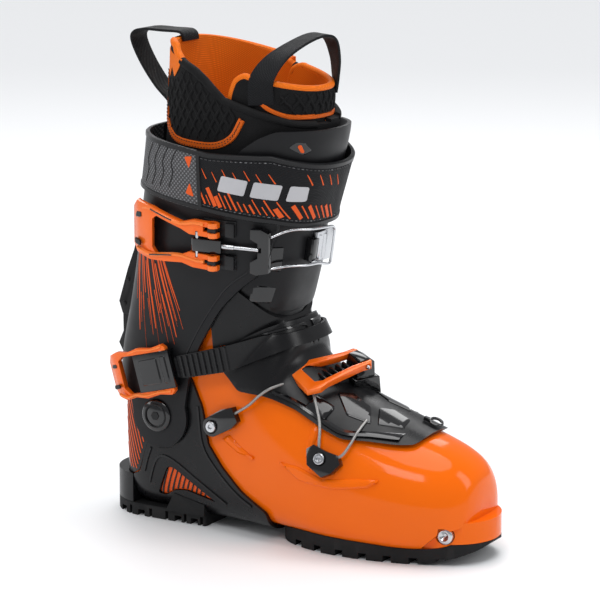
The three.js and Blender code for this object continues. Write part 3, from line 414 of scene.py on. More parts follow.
def sweep(name, points, radius, corners, closed=False, flat=1.0):
    """A round cord along 3-D points; flat squeezes its section."""
    p = np.asarray(points, float)
    n = len(p)
    if closed:
        way = np.roll(p, -1, 0) - np.roll(p, 1, 0)
    else:
        way = np.gradient(p, axis=0)
    way /= np.maximum(np.linalg.norm(way, axis=1, keepdims=True), 1e-9)
    side = np.cross(way[0], (0.1, 0.2, 1.0))
    angles = np.linspace(0, 2 * math.pi, corners, endpoint=False)
    rings = []
    for i in range(n):
        side = side - way[i] * side.dot(way[i])
        side /= np.linalg.norm(side)
        up = np.cross(way[i], side)
        r = radius[i] if hasattr(radius, "__len__") else radius
        rings.append(p[i] + r * (np.outer(np.cos(angles), side) + flat * np.outer(np.sin(angles), up)))
    faces = tube_faces(n, corners, not closed)
    if closed:
        last = (n - 1) * corners
        # the frame may have turned on its way round, so the last ring meets the nearest corner
        shift = int(np.linalg.norm(rings[-1][0] - rings[0], axis=1).argmin())
        for i in range(corners):
            j = (i + 1) % corners
            faces.append((last + i, last + j, (j + shift) % corners, (i + shift) % corners))
    made = mesh_object(name, np.vstack(rings), faces)
    outwards(made)
    return smooth(made, 60)


def strip(name, lines, view, low, high, inset=0.25):
    """Raised strips on the form, each a line of (u, v, width) in a view."""
    low_row, high_row = [], []
    for line in lines:
        p = np.asarray(line, float)
        way = np.gradient(p[:, :2], axis=0)
        way /= np.maximum(np.linalg.norm(way, axis=1, keepdims=True), 1e-9)
        across = np.stack([-way[:, 1], way[:, 0]], 1)
        half = p[:, 2:] / 2
        top = np.maximum(half - inset, half * 0.4)
        for row, reach in ((low_row, half), (high_row, top)):
            row.append(np.stack([p[:, :2] - across * reach, p[:, :2] + across * reach], 1).reshape(-1, 2))
    lows, highs = spots(view, np.vstack(low_row), low), spots(view, np.vstack(high_row), high)
    vertices = np.stack([lows[::2], highs[::2], highs[1::2], lows[1::2]], 1).reshape(-1, 3)
    faces, base = [], 0
    for line in lines:
        faces += [tuple(base + i for i in f) for f in tube_faces(len(line), 4)]
        base += 4 * len(line)
    made = mesh_object(name, vertices, faces)
    outwards(made)
    return smooth(made, 30)


def belt(name, edge, shift, width, angles, low, high):
    """A raised strip that follows an edge round the shaft."""
    half, narrow = width / 2, width / 2 - 0.4
    rows = []
    for reach, offset in ((half, low), (narrow, high), (-narrow, high), (-half, low)):
        rows.append(around(lambda x: edge(x) + shift - reach, angles, offset))
    made = mesh_object(name, np.stack(rows, 1).reshape(-1, 3), tube_faces(len(angles), 4))
    outwards(made)
    return smooth(made, 30)


def bars(name, segments, view, low, high, inset):
    """Straight raised strips. Each is (u0, v0, u1, v1, start width, end width) in a view."""
    lines = []
    for u0, v0, u1, v1, w0, w1 in segments:
        n = int(math.hypot(u1 - u0, v1 - v0) / FACE_STEP) + 2
        lines.append(np.linspace((u0, v0, w0), (u1, v1, w1), n))
    return strip(name, lines, view, low, high, inset)


def stitches(name, line, pitch=3.4, length=2.2, radius=0.38):
    """Threads sewn along a 3-D line."""
    p = np.asarray(line, float)
    reach = np.concatenate([[0], np.cumsum(np.linalg.norm(np.diff(p, axis=0), axis=1))])
    vertices, faces = [], []
    for start in np.arange(0.6, reach[-1] - length, pitch):
        a, b = (np.array([np.interp(d, reach, p[:, k]) for k in range(3)]) for d in (start, start + length))
        way = (b - a) / max(np.linalg.norm(b - a), 1e-6)
        side = np.cross(way, (0.3, 0.2, 1))
        side /= np.linalg.norm(side)
        up = np.cross(way, side)
        base = len(vertices)
        for t, r in ((0, 0.3), (0.2, 1), (0.8, 1), (1, 0.3)):
            centre = a + t * (b - a)
            for k in range(6):
                turn = k * math.pi / 3
                vertices.append(centre + radius * r * (math.cos(turn) * side + math.sin(turn) * up))
        faces += [tuple(base + i for i in f) for f in tube_faces(4, 6)]
    made = mesh_object(name, vertices, faces)
    outwards(made)
    return smooth(made, 60)


# ---- materials ----
def add_node(tree, kind, inputs=None, **settings):
    """A node with its settings. An input is given as a value, or as the socket that feeds it."""
    made = tree.nodes.new(kind)
    for key, value in settings.items():
        setattr(made, key, value)
    feed(tree, made, inputs or {})
    return made


def feed(tree, node, inputs):
    """Gives a node's inputs their values, or links them to the sockets that feed them."""
    for key, value in inputs.items():
        if isinstance(value, bpy.types.NodeSocket):
            tree.links.new(value, node.inputs[key])
        else:
            node.inputs[key].default_value = value


def noise(tree, place, scale, detail):
    """Noise of a scale and a detail, over the object's own space."""
    inputs = {"Vector": place, "Scale": scale, "Detail": detail}
    return add_node(tree, "ShaderNodeTexNoise", inputs).outputs["Fac"]


def mix(tree, factor, first, second, blend_type="MIX"):
    """A blend of two colours, each a value or a socket."""
    inputs = {0: factor, 6: first, 7: second}
    return add_node(tree, "ShaderNodeMix", inputs, data_type="RGBA", blend_type=blend_type).outputs[2]


def bump(tree, height, strength, depth, under=None):
    """A relief of a depth in millimetres, over another relief if one is given."""
    inputs = {"Strength": strength, "Distance": depth * MM, "Height": height}
    if under:
        inputs["Normal"] = under
    return add_node(tree, "ShaderNodeBump", inputs).outputs["Normal"]


def surface(name, color, second, roughness, metallic=0.0, coat=0.0, grain=(900.0, 0.02),
            spread=0.12, weave=None, wear=None, shine=0.5):
    """A finish: colour that drifts to a second one, uneven roughness, and a grain or a weave in relief.

    grain is the relief's scale and its depth in millimetres; the roughness strays by spread.
    """
    made = bpy.data.materials.new(name)
    made.use_nodes = True
    tree = made.node_tree
    place = add_node(tree, "ShaderNodeTexCoord").outputs["Object"]
    colour = mix(tree, noise(tree, place, MOTTLE, 6), (*color, 1), (*second, 1))
    polish = add_node(tree, "ShaderNodeMapRange", {
        "Value": noise(tree, place, MOTTLE * 3, 8),
        "To Min": max(roughness - spread, 0.03),
        "To Max": roughness + spread,
    })
    normal = bump(tree, noise(tree, place, grain[0], 3), 0.6, grain[1])
    if weave:
        normal, colour = woven(tree, weave, normal, colour, place)
    if wear:
        colour = worn(tree, wear, colour)
    feed(tree, tree.nodes["Principled BSDF"], {
        "Base Color": colour,
        "Normal": normal,
        "Roughness": polish.outputs["Result"],
        "Metallic": metallic,
        "Coat Weight": coat,
        "Coat Roughness": 0.04,
        "Specular IOR Level": shine,
    })
    return made


def woven(tree, weave, normal, colour, place):
    """Crossed threads: pitch in mm, depth in mm, and how dark the gaps are."""
    pitch, depth, shade = weave
    threads = []
    for turn in (0.7, -0.7):
        turned_place = add_node(tree, "ShaderNodeMapping", {
            "Vector": place,
            "Rotation": (0.6 * turn, turn, 0.4),
        })
        wave = add_node(tree, "ShaderNodeTexWave", {
            "Vector": turned_place.outputs["Vector"],
            "Scale": 0.314 / (pitch * MM),
            "Distortion": 0.4,
        }, bands_direction="Z")
        threads.append(wave.outputs["Fac"])
    over = add_node(tree, "ShaderNodeMath", dict(enumerate(threads)), operation="MULTIPLY").outputs[0]
    gap = add_node(tree, "ShaderNodeMath", {0: 1, 1: over}, operation="SUBTRACT").outputs[0]
    dimmed = mix(tree, gap, colour, (shade, shade, shade, 1), "MULTIPLY")
    return bump(tree, over, 0.9, depth, normal), dimmed


def worn(tree, wear, colour):
    """Paler edges, where the surface is rubbed."""
    edge = add_node(tree, "ShaderNodeMapRange", {
        "Value": add_node(tree, "ShaderNodeNewGeometry").outputs["Pointiness"],
        "From Min": 0.53,
        "From Max": 0.62,
        "To Max": 0.6,
    })
    return mix(tree, edge.outputs["Result"], colour, (*wear, 1))


ORANGE = surface(
    "shell_orange", (0.82, 0.128, 0.0015), (0.86, 0.142, 0.002), 0.12,
    coat=0.2, spread=0.05, grain=(300.0, 0.012), shine=0.1,
)
LEVER = surface(
    "lever_orange", (0.84, 0.115, 0.002), (0.9, 0.14, 0.004), 0.24,
    metallic=0.15, coat=0.25, spread=0.1, wear=(0.9, 0.28, 0.06), shine=0.25,
)
GRAPHITE = surface(
    "graphite_plastic", (0.007, 0.007, 0.008), (0.0105, 0.0105, 0.0118), 0.4,
    grain=(1400.0, 0.05), wear=(0.025, 0.025, 0.027), shine=0.2,
)
BLACK = surface(
    "black_plastic", (0.003, 0.003, 0.0035), (0.005, 0.005, 0.006), 0.1, coat=0.25, spread=0.04,
)
SATIN = surface(
    "satin_black", (0.0045, 0.0045, 0.005), (0.007, 0.007, 0.008), 0.3,
    wear=(0.018, 0.018, 0.019), shine=0.25,
)
RUBBER = surface(
    "sole_rubber", (0.006, 0.006, 0.0065), (0.01, 0.01, 0.0105), 0.7,
    grain=(700.0, 0.12), wear=(0.02, 0.02, 0.02), shine=0.25,
)
STEEL = surface(
    "steel", (0.62, 0.63, 0.65), (0.5, 0.51, 0.53), 0.22,
    metallic=1.0, spread=0.1, grain=(1800.0, 0.01),
)
WIRE = surface(
    "cable_wire", (0.36, 0.355, 0.34), (0.26, 0.255, 0.25), 0.4,
    metallic=0.7, spread=0.1, grain=(2500.0, 0.05),
)
LINING = surface(
    "liner_lining", (0.95, 0.2, 0.006), (0.9, 0.17, 0.004), 0.62,
    grain=(1500.0, 0.05), weave=(1.1, 0.12, 0.75), shine=0.2,
)
PADDING = surface(
    "liner_padding", (0.004, 0.004, 0.0045), (0.008, 0.008, 0.009), 0.75,
    grain=(1500.0, 0.05), weave=(1.0, 0.15, 0.6), shine=0.2,
)
PIPING = surface(
    "liner_piping", (0.84, 0.15, 0.006), (0.78, 0.125, 0.005), 0.5,
    grain=(2000.0, 0.04), weave=(0.9, 0.1, 0.7), shine=0.2,
)
WEBBING = surface(
    "strap_webbing", (0.0045, 0.005, 0.0065), (0.008, 0.0085, 0.011), 0.6,
    grain=(1500.0, 0.04), weave=(1.2, 0.22, 0.55), shine=0.2,
)
MESH = surface(
    "grey_mesh", (0.2, 0.201, 0.21), (0.26, 0.261, 0.272), 0.6,
    grain=(1500.0, 0.05), weave=(2.2, 0.4, 0.2), shine=0.25,
)
PRINT = surface(
    "orange_print", (0.75, 0.1, 0.008), (0.68, 0.08, 0.006), 0.45,
    grain=(1500.0, 0.02), shine=0.25,
)
PALE = surface(
    "pale_print", (0.5, 0.5, 0.52), (0.44, 0.44, 0.46), 0.5, grain=(1500.0, 0.02), shine=0.25,
)


# ---- finishing a piece ----
def finish_piece(made, body, finish, bevel):
    """Rounds a piece's edges, gives it its material and lets it ride on a body."""
    made.data.materials.clear()
    made.data.materials.append(finish)
    if bevel:
        weld = made.modifiers.new("weld", "WELD")
        weld.merge_threshold = 0.02 * MM
        edge = made.modifiers.new("edge", "BEVEL")
        edge.width = bevel * MM
        edge.segments = 2
        edge.limit_method = "ANGLE"
        edge.angle_limit = math.radians(35)
        edge.harden_normals = False
        graph = bpy.context.evaluated_depsgraph_get()
        mesh = bpy.data.meshes.new_from_object(made.evaluated_get(graph))
        made.modifiers.clear()
        made.data = mesh
        smooth(made, 38)
        even = made.modifiers.new("even", "WEIGHTED_NORMAL")
        even.keep_sharp = True
    if body:
        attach(made, body)
    return made


def shade_by_angle():
    """Nodes that keep edges sharp past an angle, for the CAD nodes."""
    group = bpy.data.node_groups.new("shade_by_angle", "GeometryNodeTree")
    for way in ("INPUT", "OUTPUT"):
        group.interface.new_socket("Geometry", in_out=way, socket_type="NodeSocketGeometry")
    start = add_node(group, "NodeGroupInput")
    turn = add_node(group, "GeometryNodeInputMeshEdgeAngle").outputs["Unsigned Angle"]
    below = add_node(
        group, "FunctionNodeCompare", {0: turn, 1: math.radians(38)},
        data_type="FLOAT", operation="LESS_THAN",
    )
    faces = add_node(
        group, "GeometryNodeSetShadeSmooth", {"Geometry": start.outputs[0]}, domain="FACE",
    )
    edges = add_node(
        group, "GeometryNodeSetShadeSmooth",
        {"Geometry": faces.outputs[0], "Shade Smooth": below.outputs[0]}, domain="EDGE",
    )
    add_node(group, "NodeGroupOutput", {0: edges.outputs[0]})
    return group


SHADING = shade_by_angle()


def dress(name, finish, round_wire=False):
    """Gives a CAD node its material, softened edges and smooth shading."""
    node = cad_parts[name]
    normals = node.data.attributes.get("custom_normal")
    if normals:
        node.data.attributes.remove(normals)
    node.data.materials.clear()
    node.data.materials.append(finish)
    weld = node.modifiers.new("weld", "WELD")
    weld.merge_threshold = 0.005 * MM
    if round_wire:
        rounder = node.modifiers.new("round", "SUBSURF")
        rounder.levels = rounder.render_levels = 2
        fuller = node.modifiers.new("fuller", "DISPLACE")
        fuller.strength = 0.16 * MM
        fuller.mid_level = 0
    else:
        edge = node.modifiers.new("edge", "BEVEL")
        edge.width = 0.35 * MM
        edge.segments = 2
        edge.limit_method = "ANGLE"
        edge.angle_limit = math.radians(40)
    shade = node.modifiers.new("shade", "NODES")
    shade.node_group = SHADING
    return node


# ---- shell, frame and soles ----
def heel_plan(front):
    """The plan of the sole's heel, cut straight at its front."""
    return arc(HEEL_X + WELT_R, 0, WELT_R, 90, 270) + [(front, -WELT_R), (front, WELT_R)]


def toe_plan(back):
    """The plan of the sole's toe, cut straight at its back."""
    return arc(TOE_X - WELT_R, 0, WELT_R, -90, 90) + [(back, WELT_R + 4), (back, -WELT_R - 4)]


def box(x0, x1, y0, y1, z0, z1):
    return prism([(x0, z0), (x1, z0), (x1, z1), (x0, z1)], y0, y1)


def pivot_hole():
    return bar_y(0, PIVOT_Z, -FAR, FAR, BORE_R)


def lower_shell():
    outline = [
        (-70, 106), (-24, 108), (6, 122), (26, 146), (40, 156), (48, 152), (56, 136), (72, 130), (FAR, 134),
        (FAR, -10), (-70, -10),
    ]
    below = prism([(202, -10), (FAR, -10), (FAR, 29), (240, 29), (224, 24), (206, 8)])
    cut(below, prism(toe_plan(190), -20, 60, (0, 1)))
    floor = [(-FAR, 12.5), (194, 12.5), (206, 33), (FAR, 33), (FAR, 600), (-FAR, 600)]
    cavity = keep(form_solid(CAVITY, 2, TOP_SECTION), prism(floor))
    throat = prism(arc(162, 0, 15, -90, 90) + [(80, 22), (80, -22)], 60, 200, (0, 1))
    made = join(form_solid(0), prism(toe_plan(206), 15.8, WELT_TOP, (0, 1)))
    cut(made, below, cavity, throat)
    keep(made, prism(rounded(outline, 5)))
    cut(made, bar_y(226, 22, 28.4, 40, 6.5), bar_y(226, 22, -40, -28.4, 6.5), pivot_hole())
    made.name = "shell"
    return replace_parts(finish_piece(made, "foot", ORANGE, 0.8), "lower_shell")


def heel_cup():
    outline = [(-70, 31.4), (-30.4, 31.4), (-22, 36), (-15.5, 52.5), (-9.5, 66.5), (-9.5, 103), (-70, 103)]
    made = layer("heel_cup_cover", HEEL_CUP, outline, 8, 20)
    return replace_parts(finish_piece(made, "foot", SATIN, 0.4), "heel_cup")


def heel_frame():
    outline = [
        (-30, 0), (-30, 31), (-21, 35), (-15, 52), (-9, 66), (-9, 100), (4, 112), (18, 121), (27, 111),
        (36, 91), (41, 65), (53, 50), (70, 35), (84, 27), (92.8, 22), (92.8, 0),
    ]
    window = [(-7, 20), (5, 43), (10, 43), (46, 21.5), (20, 26.5), (9, 25), (-1, 19)]
    made = layer("heel_frame_cover", FRAME, outline, 7, 17)
    ear = arc(0, PIVOT_Z, EAR_R + 1.5, 0, 360, 60)[:-1]
    ear_room = layer("ear_room", (FRAME[1] - 0.6, 20), ear, 6, 20, turn=0.5)
    cut(made, prism(rounded(window, 2)), pivot_hole(), ear_room)
    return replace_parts(finish_piece(made, "foot", SATIN, 0.5), "heel_frame")


def window_panels():
    outline = [(-5.8, 20.8), (5.5, 42.4), (9.8, 42.4), (43.6, 22.4), (20, 27), (8.8, 25.6), (-1.2, 19.8)]
    for side, y_range in SIDES.items():
        made = layer("window_" + side, (0.4, 1.5), outline, 7, 17, *y_range, 1.5)
        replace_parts(finish_piece(made, "foot", PRINT, 0), "window_panel_" + side)
        slants = [(-4 + 4.2 * k, 20.5, 6 + 4.2 * k, 44, 1.5, 1.1) for k in range(10)]
        lines = bars("window_lines_" + side, clipped(slants, outline), side, 1.2, 2.1, 0.15)
        finish_piece(lines, "foot", SATIN, 0)


def clipped(segments, outline):
    """Bars cut back to where they lie inside an outline. Those that miss it are left out."""
    made = []
    for u0, v0, u1, v1, w0, w1 in segments:
        line = [(u0 + t * (u1 - u0), v0 + t * (v1 - v0)) for t in np.linspace(0, 1, 41)]
        inside = [spot for spot in line if is_inside(*spot, outline)]
        if len(inside) > 2:
            made.append((*inside[0], *inside[-1], w0, w1))
    return made


def is_inside(u, v, outline):
    """Whether a point lies inside a closed outline."""
    found = False
    for (x0, z0), (x1, z1) in zip(outline, outline[1:] + outline[:1]):
        if (z0 > v) != (z1 > v) and u < x0 + (v - z0) / (z1 - z0) * (x1 - x0):
            found = not found
    return found


def cross_grooves(places):
    """Blocks that cut grooves across the tread."""
    return [box(x, x + 6, -FAR, FAR, -1, TREAD_TOP) for x in places]


def soles():
    heel = prism(rounded(heel_plan(33), 2), 0, 9, (0, 1))
    for y0, y1 in ((-37, 0), (0, 37)):
        join(heel, prism([(0, 8), (33, 8), (33, 22.5), (17, 25.5), (8, 23.5)], y0, y1))
    cut(heel, form_solid(FRAME[1] + CLEARANCE, 7, 17))
    cut(heel, *cross_grooves((-44, -26, 6, 20)))
    for x in (-34, -16, -2, 14, 28):
        for y in (-33, 33):
            cut(heel, box(x, x + 2.4, y - 3, y + 3, -1, 6.5))
    heel.name = "outsole_heel_rubber"
    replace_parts(finish_piece(heel, "foot", RUBBER, 0.5), "outsole_heel")
    plan = [(94, -30), (112, -42), (140, -49), (170, -48), (198, -42)]
    plan += arc(TOE_X - WELT_R, 0, WELT_R, -62, 62)
    plan += [(198, 41), (170, 45), (140, 42), (112, 36), (94, 28)]
    toe = prism(rounded(plan, 12, 6), 0, 15.4, (0, 1))
    rocker = [(92, 12), (94, 3), (100, 0), (206, 0), (228, 4), (251, 13), (251, 40), (92, 40)]
    keep(toe, prism(rounded(rocker, 8, 8)))
    cut(toe, form_solid(CLEARANCE, 0, 12))
    cut(toe, *cross_grooves(range(112, 221, 18)))
    cut(toe, box(90, FAR, -3, 3, -1, TREAD_TOP))
    toe.name = "outsole_toe_rubber"
    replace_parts(finish_piece(toe, "foot", RUBBER, 0.5), "outsole_toe")


def heel_welt():
    made = prism(heel_plan(0), 9.4, WELT_TOP, (0, 1))
    keep(made, box(-FAR, -30.4, -FAR, FAR, 0, FAR))
    insert_room = box(HEEL_X - 1, HEEL_X + 3.3, -11.3, 11.3, 10.7, 29.3)
    groove = box(-80, -52, -FAR, FAR, 19, 22.5)
    cut(made, form_solid(HEEL_CUP[1] + CLEARANCE, 8, 18), insert_room, groove)
    made.name = "heel_welt_cover"
    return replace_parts(finish_piece(made, "foot", SATIN, 0.8), "heel_welt")


# ---- tongues ----
def tongue_flare(k, gap=0.0):
    """The offset of the lower tongue's inner (0) or outer (1) skin, which flares from flap to collar."""
    def offset(s):
        t = min(max((s - 8.9) / 1.2, 0), 1)
        return gap + FLAP[k] + (COLLAR[k] - FLAP[k]) * t * t * (3 - 2 * t)
    return offset


def tongue_lower():
    outline = [
        (52, 126), (55, 121), (68, 108), (88, 107), (113, 100), (137, 89), (151, 84), (170, 83.5),
        (189, 82), (200, 82), (203, 88), (203, 140), (130, 170), (106, 157), (93, 156.5), (84, 153),
        (71, 146), (61, 138),
    ]
    made = layer("tongue_cover", (tongue_flare(0), tongue_flare(1)), outline, 3, 15)
    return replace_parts(finish_piece(made, "foot", SATIN, 0.8), "tongue_lower")


def tongue_gusset():
    outline = [(46, 134), (54, 140), (60, 137), (74, 136), (90, 138)]
    outline += arc(0, PIVOT_Z, GUSSET_R, 30, 56) + [(44, 166)]
    made = keep(layer("gusset_cover", GUSSET, outline, 9, 20), form_solid(tongue_flare(0, -0.4), 9, 20))
    made.name = "gusset_cover"
    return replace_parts(finish_piece(made, "foot", SATIN, 0.3), "tongue_gusset")


def tongue_shin():
    outline = arc(0, PIVOT_Z, COLLAR_R, 60, 20) + [
        (FAR, 150), (FAR, 293), (99, 295), (88, 290), (75, 281), (64, 262), (60, 230),
    ]
    made = layer("shin_cover", SHIN, outline, 11, 24)
    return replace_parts(finish_piece(made, "cuff", GRAPHITE, 0.8), "tongue_shin")


# ---- cuff ----
def cuff():
    outline = arc(1, PIVOT_Z, EAR_R, 20, -160, 40) + [
        (-26, 96), (-60, 112), (-60, 262), (20, 256), (62, 248), (97, 238), (96, 226), (85, 194),
        (71, 183), (56, 168), (49, 158), (36, 136), (28, 116),
    ]
    made = layer("cuff_cover", CUFF, outline, 6, 24, turn=6)
    bracket_room = box(-80, -30, -9, 9, 80, 119)
    cut(made, pivot_hole(), bracket_room)
    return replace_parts(finish_piece(made, "cuff", GRAPHITE, 0.8), "cuff")


def cuff_spine():
    outline = [(-90, 122), (-20, 122), (-10, 236), (-90, 236)]
    made = layer("spine_cover", SPINE, outline, 14, 22, -13, 13)
    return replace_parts(finish_piece(made, "cuff", BLACK, 1.0), "cuff_spine")


# ---- straps ----
STRAP_BAND = [
    (-90, 247), (-20, 247), (30, 240), (69, 234), (96, 230), (113, 225), (170, 220), (170, 262),
    (127, 270), (99, 279), (54, 279), (31, 282), (-16, 287), (-90, 292),
]
STRAP_SEAM = 44


def straps():
    strap = layer("power_strap_webbing", POWER_STRAP, STRAP_BAND, 17, 24)
    cut(strap, box(-FAR, STRAP_SEAM + CLEARANCE, -FAR, CLEARANCE, 0, 600))
    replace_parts(finish_piece(strap, "cuff", WEBBING, 0.6), "power_strap")
    panel = layer("strap_mesh_panel", POWER_STRAP, STRAP_BAND, 17, 24)
    keep(panel, box(-FAR, STRAP_SEAM, -FAR, 0, 0, 600))
    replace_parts(finish_piece(panel, "cuff", MESH, 0.6), "strap_panel")
    outline = [
        (17, 112.2), (27, 113.6), (62, 122), (81, 131), (104, 141), (170, 150), (170, 159),
        (104, 150.5), (84, 148.5), (62, 141), (17, 128),
    ]
    made = layer("ankle_strap_cover", ANKLE_STRAP, outline, 8, 17)
    cut(made, box(-FAR, 16, 0, FAR, 0, FAR))
    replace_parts(finish_piece(made, "foot", SATIN, 0.4), "ankle_strap")


# ---- liner ----
LINER_TOP = {
    "lateral": [
        (125, 296), (104, 300), (82, 307), (70, 311), (57, 315), (42, 328), (33, 334), (20, 339), (7, 350),
    ],
    "medial": [(125, 297), (100, 305), (85, 314), (70, 326), (50, 338), (25, 348), (7, 352)],
}


def ray(angle, reach):
    """A point of the side view at an angle and a distance from the pivot."""
    return (reach * math.cos(math.radians(angle)), PIVOT_Z + reach * math.sin(math.radians(angle)))


def tongue_top(x):
    """The height of the inner tongue's edge."""
    return 331.5 - (x - 68) * 0.228


def liner():
    floor = [(-FAR, 21.5), (194, 21.5), (206, 42), (FAR, 42), (FAR, 600), (-FAR, 600)]
    under = [(x, z - 4) for x, z in floor]
    foot = keep(form_solid(LINER[1], 3, 20), prism(under))
    cut(foot, keep(form_solid(LINER[0], 4, 20), prism(floor)))
    keep(foot, prism([(0, PIVOT_Z), ray(33, 400), (FAR, 0), (-FAR, 0), ray(180, FAR)]))
    foot.name = "liner_bootie"
    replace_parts(finish_piece(foot, "foot", PADDING, 0.4), "liner_foot")
    shaft = cut(form_solid(LINER[1], 9, 24), form_solid(LINER[0], 9, 24))
    low = [(0, 134), ray(60, 122), (FAR, 205)]
    back = [(-60, 360), (-80, 156), ray(118, 80)]
    blocks = [prism(low + LINER_TOP[side] + back, *y_range) for side, y_range in SIDES.items()]
    keep(shaft, join(*blocks))
    shaft.name = "liner_shaft_padding"
    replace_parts(finish_piece(shaft, "cuff", PADDING, 0.4), "liner_shaft")
    outline = [(56, 186), (60, 300), (62, 322)] + [(x, tongue_top(x)) for x in (68, 200)] + [(200, 200)]
    tongue = layer("liner_tongue_padding", LINER_TONGUE, outline, 9, 24)
    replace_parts(finish_piece(tongue, "cuff", PADDING, 0.6), "liner_tongue")


# ---- details on the shell and frame ----
def relief(name, shapes, view, low, high, body, finish, bevel):
    """Raised plates in one piece."""
    plates = [patch(name, shape, view, low, high, bevel) for shape in shapes]
    made = smooth(merged(name, plates), 35)
    finish_piece(made, body, finish, 0)


def line_work(name, lines, width, view, low, high, body, finish, inset=0.35):
    """Raised ribs that follow smooth lines in a view."""
    strips = [[(*p, width) for p in smooth_line(line, 5)] for line in lines]
    finish_piece(strip(name, strips, view, low, high, inset), body, finish, 0)


def shell_details():
    relief("shell_relief", [
        [(104, 62), (122, 52), (150, 50), (176, 54), (184, 60), (166, 59), (142, 56), (120, 62)],
        [(52, 70), (66, 62), (82, 60), (70, 66), (58, 74)],
        [(128, 96), (126, 70), (131, 60), (134, 62), (132, 78), (133, 90)],
    ], "lateral", -0.4, 1.7, "foot", ORANGE, 1.6)
    relief("shell_relief_medial", [
        [(100, 60), (122, 50), (150, 49), (176, 54), (166, 58), (142, 55), (118, 60)],
    ], "medial", -0.4, 1.7, "foot", ORANGE, 1.6)
    for view in ("lateral", "medial"):
        line_work("frame_ribs_" + view, [
            [(32.6, 92), (36.5, 64), (49, 47), (66, 32.5), (80, 25)],
            [(-16.5, 36.5), (-13, 46), (-9, 55.5)],
            [(-13, 28), (-4, 47.5), (7, 50), (30, 37), (56, 22)],
        ], 2.2, view, 2.6, 3.9, "foot", SATIN)
        heel = [(-38, 34), (-25, 34), (-18, 52), (-13.5, 64), (-20, 72), (-30, 90), (-38, 90)]
        slants = [(-50 + 3.3 * k, 88, -32 + 3.3 * k, 36, 1.7, 1.1) for k in range(9)]
        stripes = bars("heel_stripes_" + view, clipped(slants, heel), view, 2.0, 2.45, 0.15)
        finish_piece(stripes, "foot", PRINT, 0)


def tongue_details():
    relief("tongue_panels", [
        [(134, -20), (148, -32), (166, -29), (158, -14), (142, -10)],
        [(162, -10), (170, -27), (186, -18), (184, -4), (170, -2)],
        [(146, 14), (160, 8), (176, 12), (168, 24), (152, 26)],
    ], "top", 3.2, 4.5, "foot", BLACK, 0.8)
    relief("tongue_side_panels", [
        [(120, 102), (136, 95), (139, 102), (124, 110)],
    ], "lateral", 4.2, 5.4, "foot", BLACK, 0.8)
    border = [(72, 112), (90, 111), (114, 104), (138, 93), (152, 88), (170, 87.5), (189, 86)]
    for view, line in (("lateral", border), ("medial", border[:-1])):
        line_work("tongue_border_" + view, [line], 3.4, view, 3.2, 5.2,
                  "foot", BLACK, 0.9)
        line_work("collar_ribs_" + view, [
            [(64, 136), (72, 142), (84, 149), (96, 152.6), (104, 153.6)],
            [(66, 128), (76, 134), (88, 141), (98, 144.6), (108, 146)],
        ], 2.6, view, 6.3, 7.6, "foot", BLACK, 0.6)


def bellows():
    """The ribbed rubber that closes the gap between the lower and upper tongue."""
    outline = arc(0, PIVOT_Z, 136, 12, 62) + arc(0, PIVOT_Z, 104, 62, 12)
    made = layer("tongue_bellows", (-2.6, 0.1), outline, 9, 20)
    finish_piece(made, None, SATIN, 0)
    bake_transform(made)


# ---- details on the cuff ----
def streaks(count, x_range, top, lengths, leans, widths, seed):
    """Strokes of uneven length that start along a line and fan out forwards."""
    chance = random.Random(seed)
    made = []
    for k in range(count):
        x = x_range[0] + (x_range[1] - x_range[0]) * (k + chance.random() * 0.8) / count
        z = top - chance.random() * 14
        length = lengths[0] + (lengths[1] - lengths[0]) * chance.random()
        width = chance.uniform(*widths)
        lean = leans[0] + (leans[1] - leans[0]) * k / count
        made.append((x, z, x + lean * length, z - length, width, width * 0.35))
    return made


def cuff_details():
    for view in ("lateral", "medial"):
        strokes = streaks(13, (-21, 12), 206, (26, 60), (0.03, 0.36), (0.9, 2.2), 4)
        strokes += streaks(8, (-16, 14), 176, (18, 44), (0.06, 0.34), (0.4, 0.9), 9)
        printed = bars("cuff_strokes_" + view, strokes, view, 6.5, 6.95, 0.1)
        finish_piece(printed, "cuff", PRINT, 0)
        line_work("cuff_ribs_" + view, [
            [(20, 116), (28, 134), (42, 158), (60, 182), (80, 198), (90, 214)],
        ], 1.6, view, 6.4, 7.3, "cuff", GRAPHITE)
    relief("shin_panels", [
        [(-42, 196), (-30, 194), (-30, 212), (-42, 212)],
        [(-40, 172), (-32, 171), (-31, 183), (-40, 184)],
        [(32, 172), (42, 174), (42, 190), (32, 190)],
    ], "front", 3.0, 4.1, "cuff", BLACK, 0.7)
    relief("shin_slot", [[(106, 284), (111, 288), (115, 287), (117, 281), (113, 278)]], "lateral", 3.2, 3.7,
           "cuff", BLACK, 0.3)
    relief("shin_slot_mark", [[(111, 285), (113, 286), (114, 280), (112.4, 279.6)]], "lateral", 3.6, 4.0,
           "cuff", PRINT, 0.2)


def pivot_details():
    for side, view in ((-1, "lateral"), (1, "medial")):
        out = abs(spots(view, [(0, PIVOT_Z)], 0)[0][1])
        face = side * (out + 9.6)
        ring = [(x, face, z) for x, z in arc(0, PIVOT_Z, BORE_R, 0, 360, 48)[:-1]]
        finish_piece(sweep("pivot_ring_" + view, ring, 0.8, 8, True), "foot", SATIN, 0)
        hexagon = arc(0, PIVOT_Z, 3.4, 0, 360, 6)[:-1]
        nut = prism(hexagon, min(face, face + side * 0.7), max(face, face + side * 0.7))
        nut.name = "pivot_hex_" + view
        finish_piece(nut, "foot", SATIN, 0.2)


# ---- details on the straps ----
def strap_low(x):
    """The height of the power strap's lower edge."""
    return np.interp(x, (-20, 30, 69, 96, 113, 170), (247, 240, 234, 230, 225, 220))


def strap_high(x):
    """The height of the power strap's upper edge."""
    return np.interp(x, (-16, 31, 54, 99, 127, 170), (287, 282, 279, 279, 270, 262))


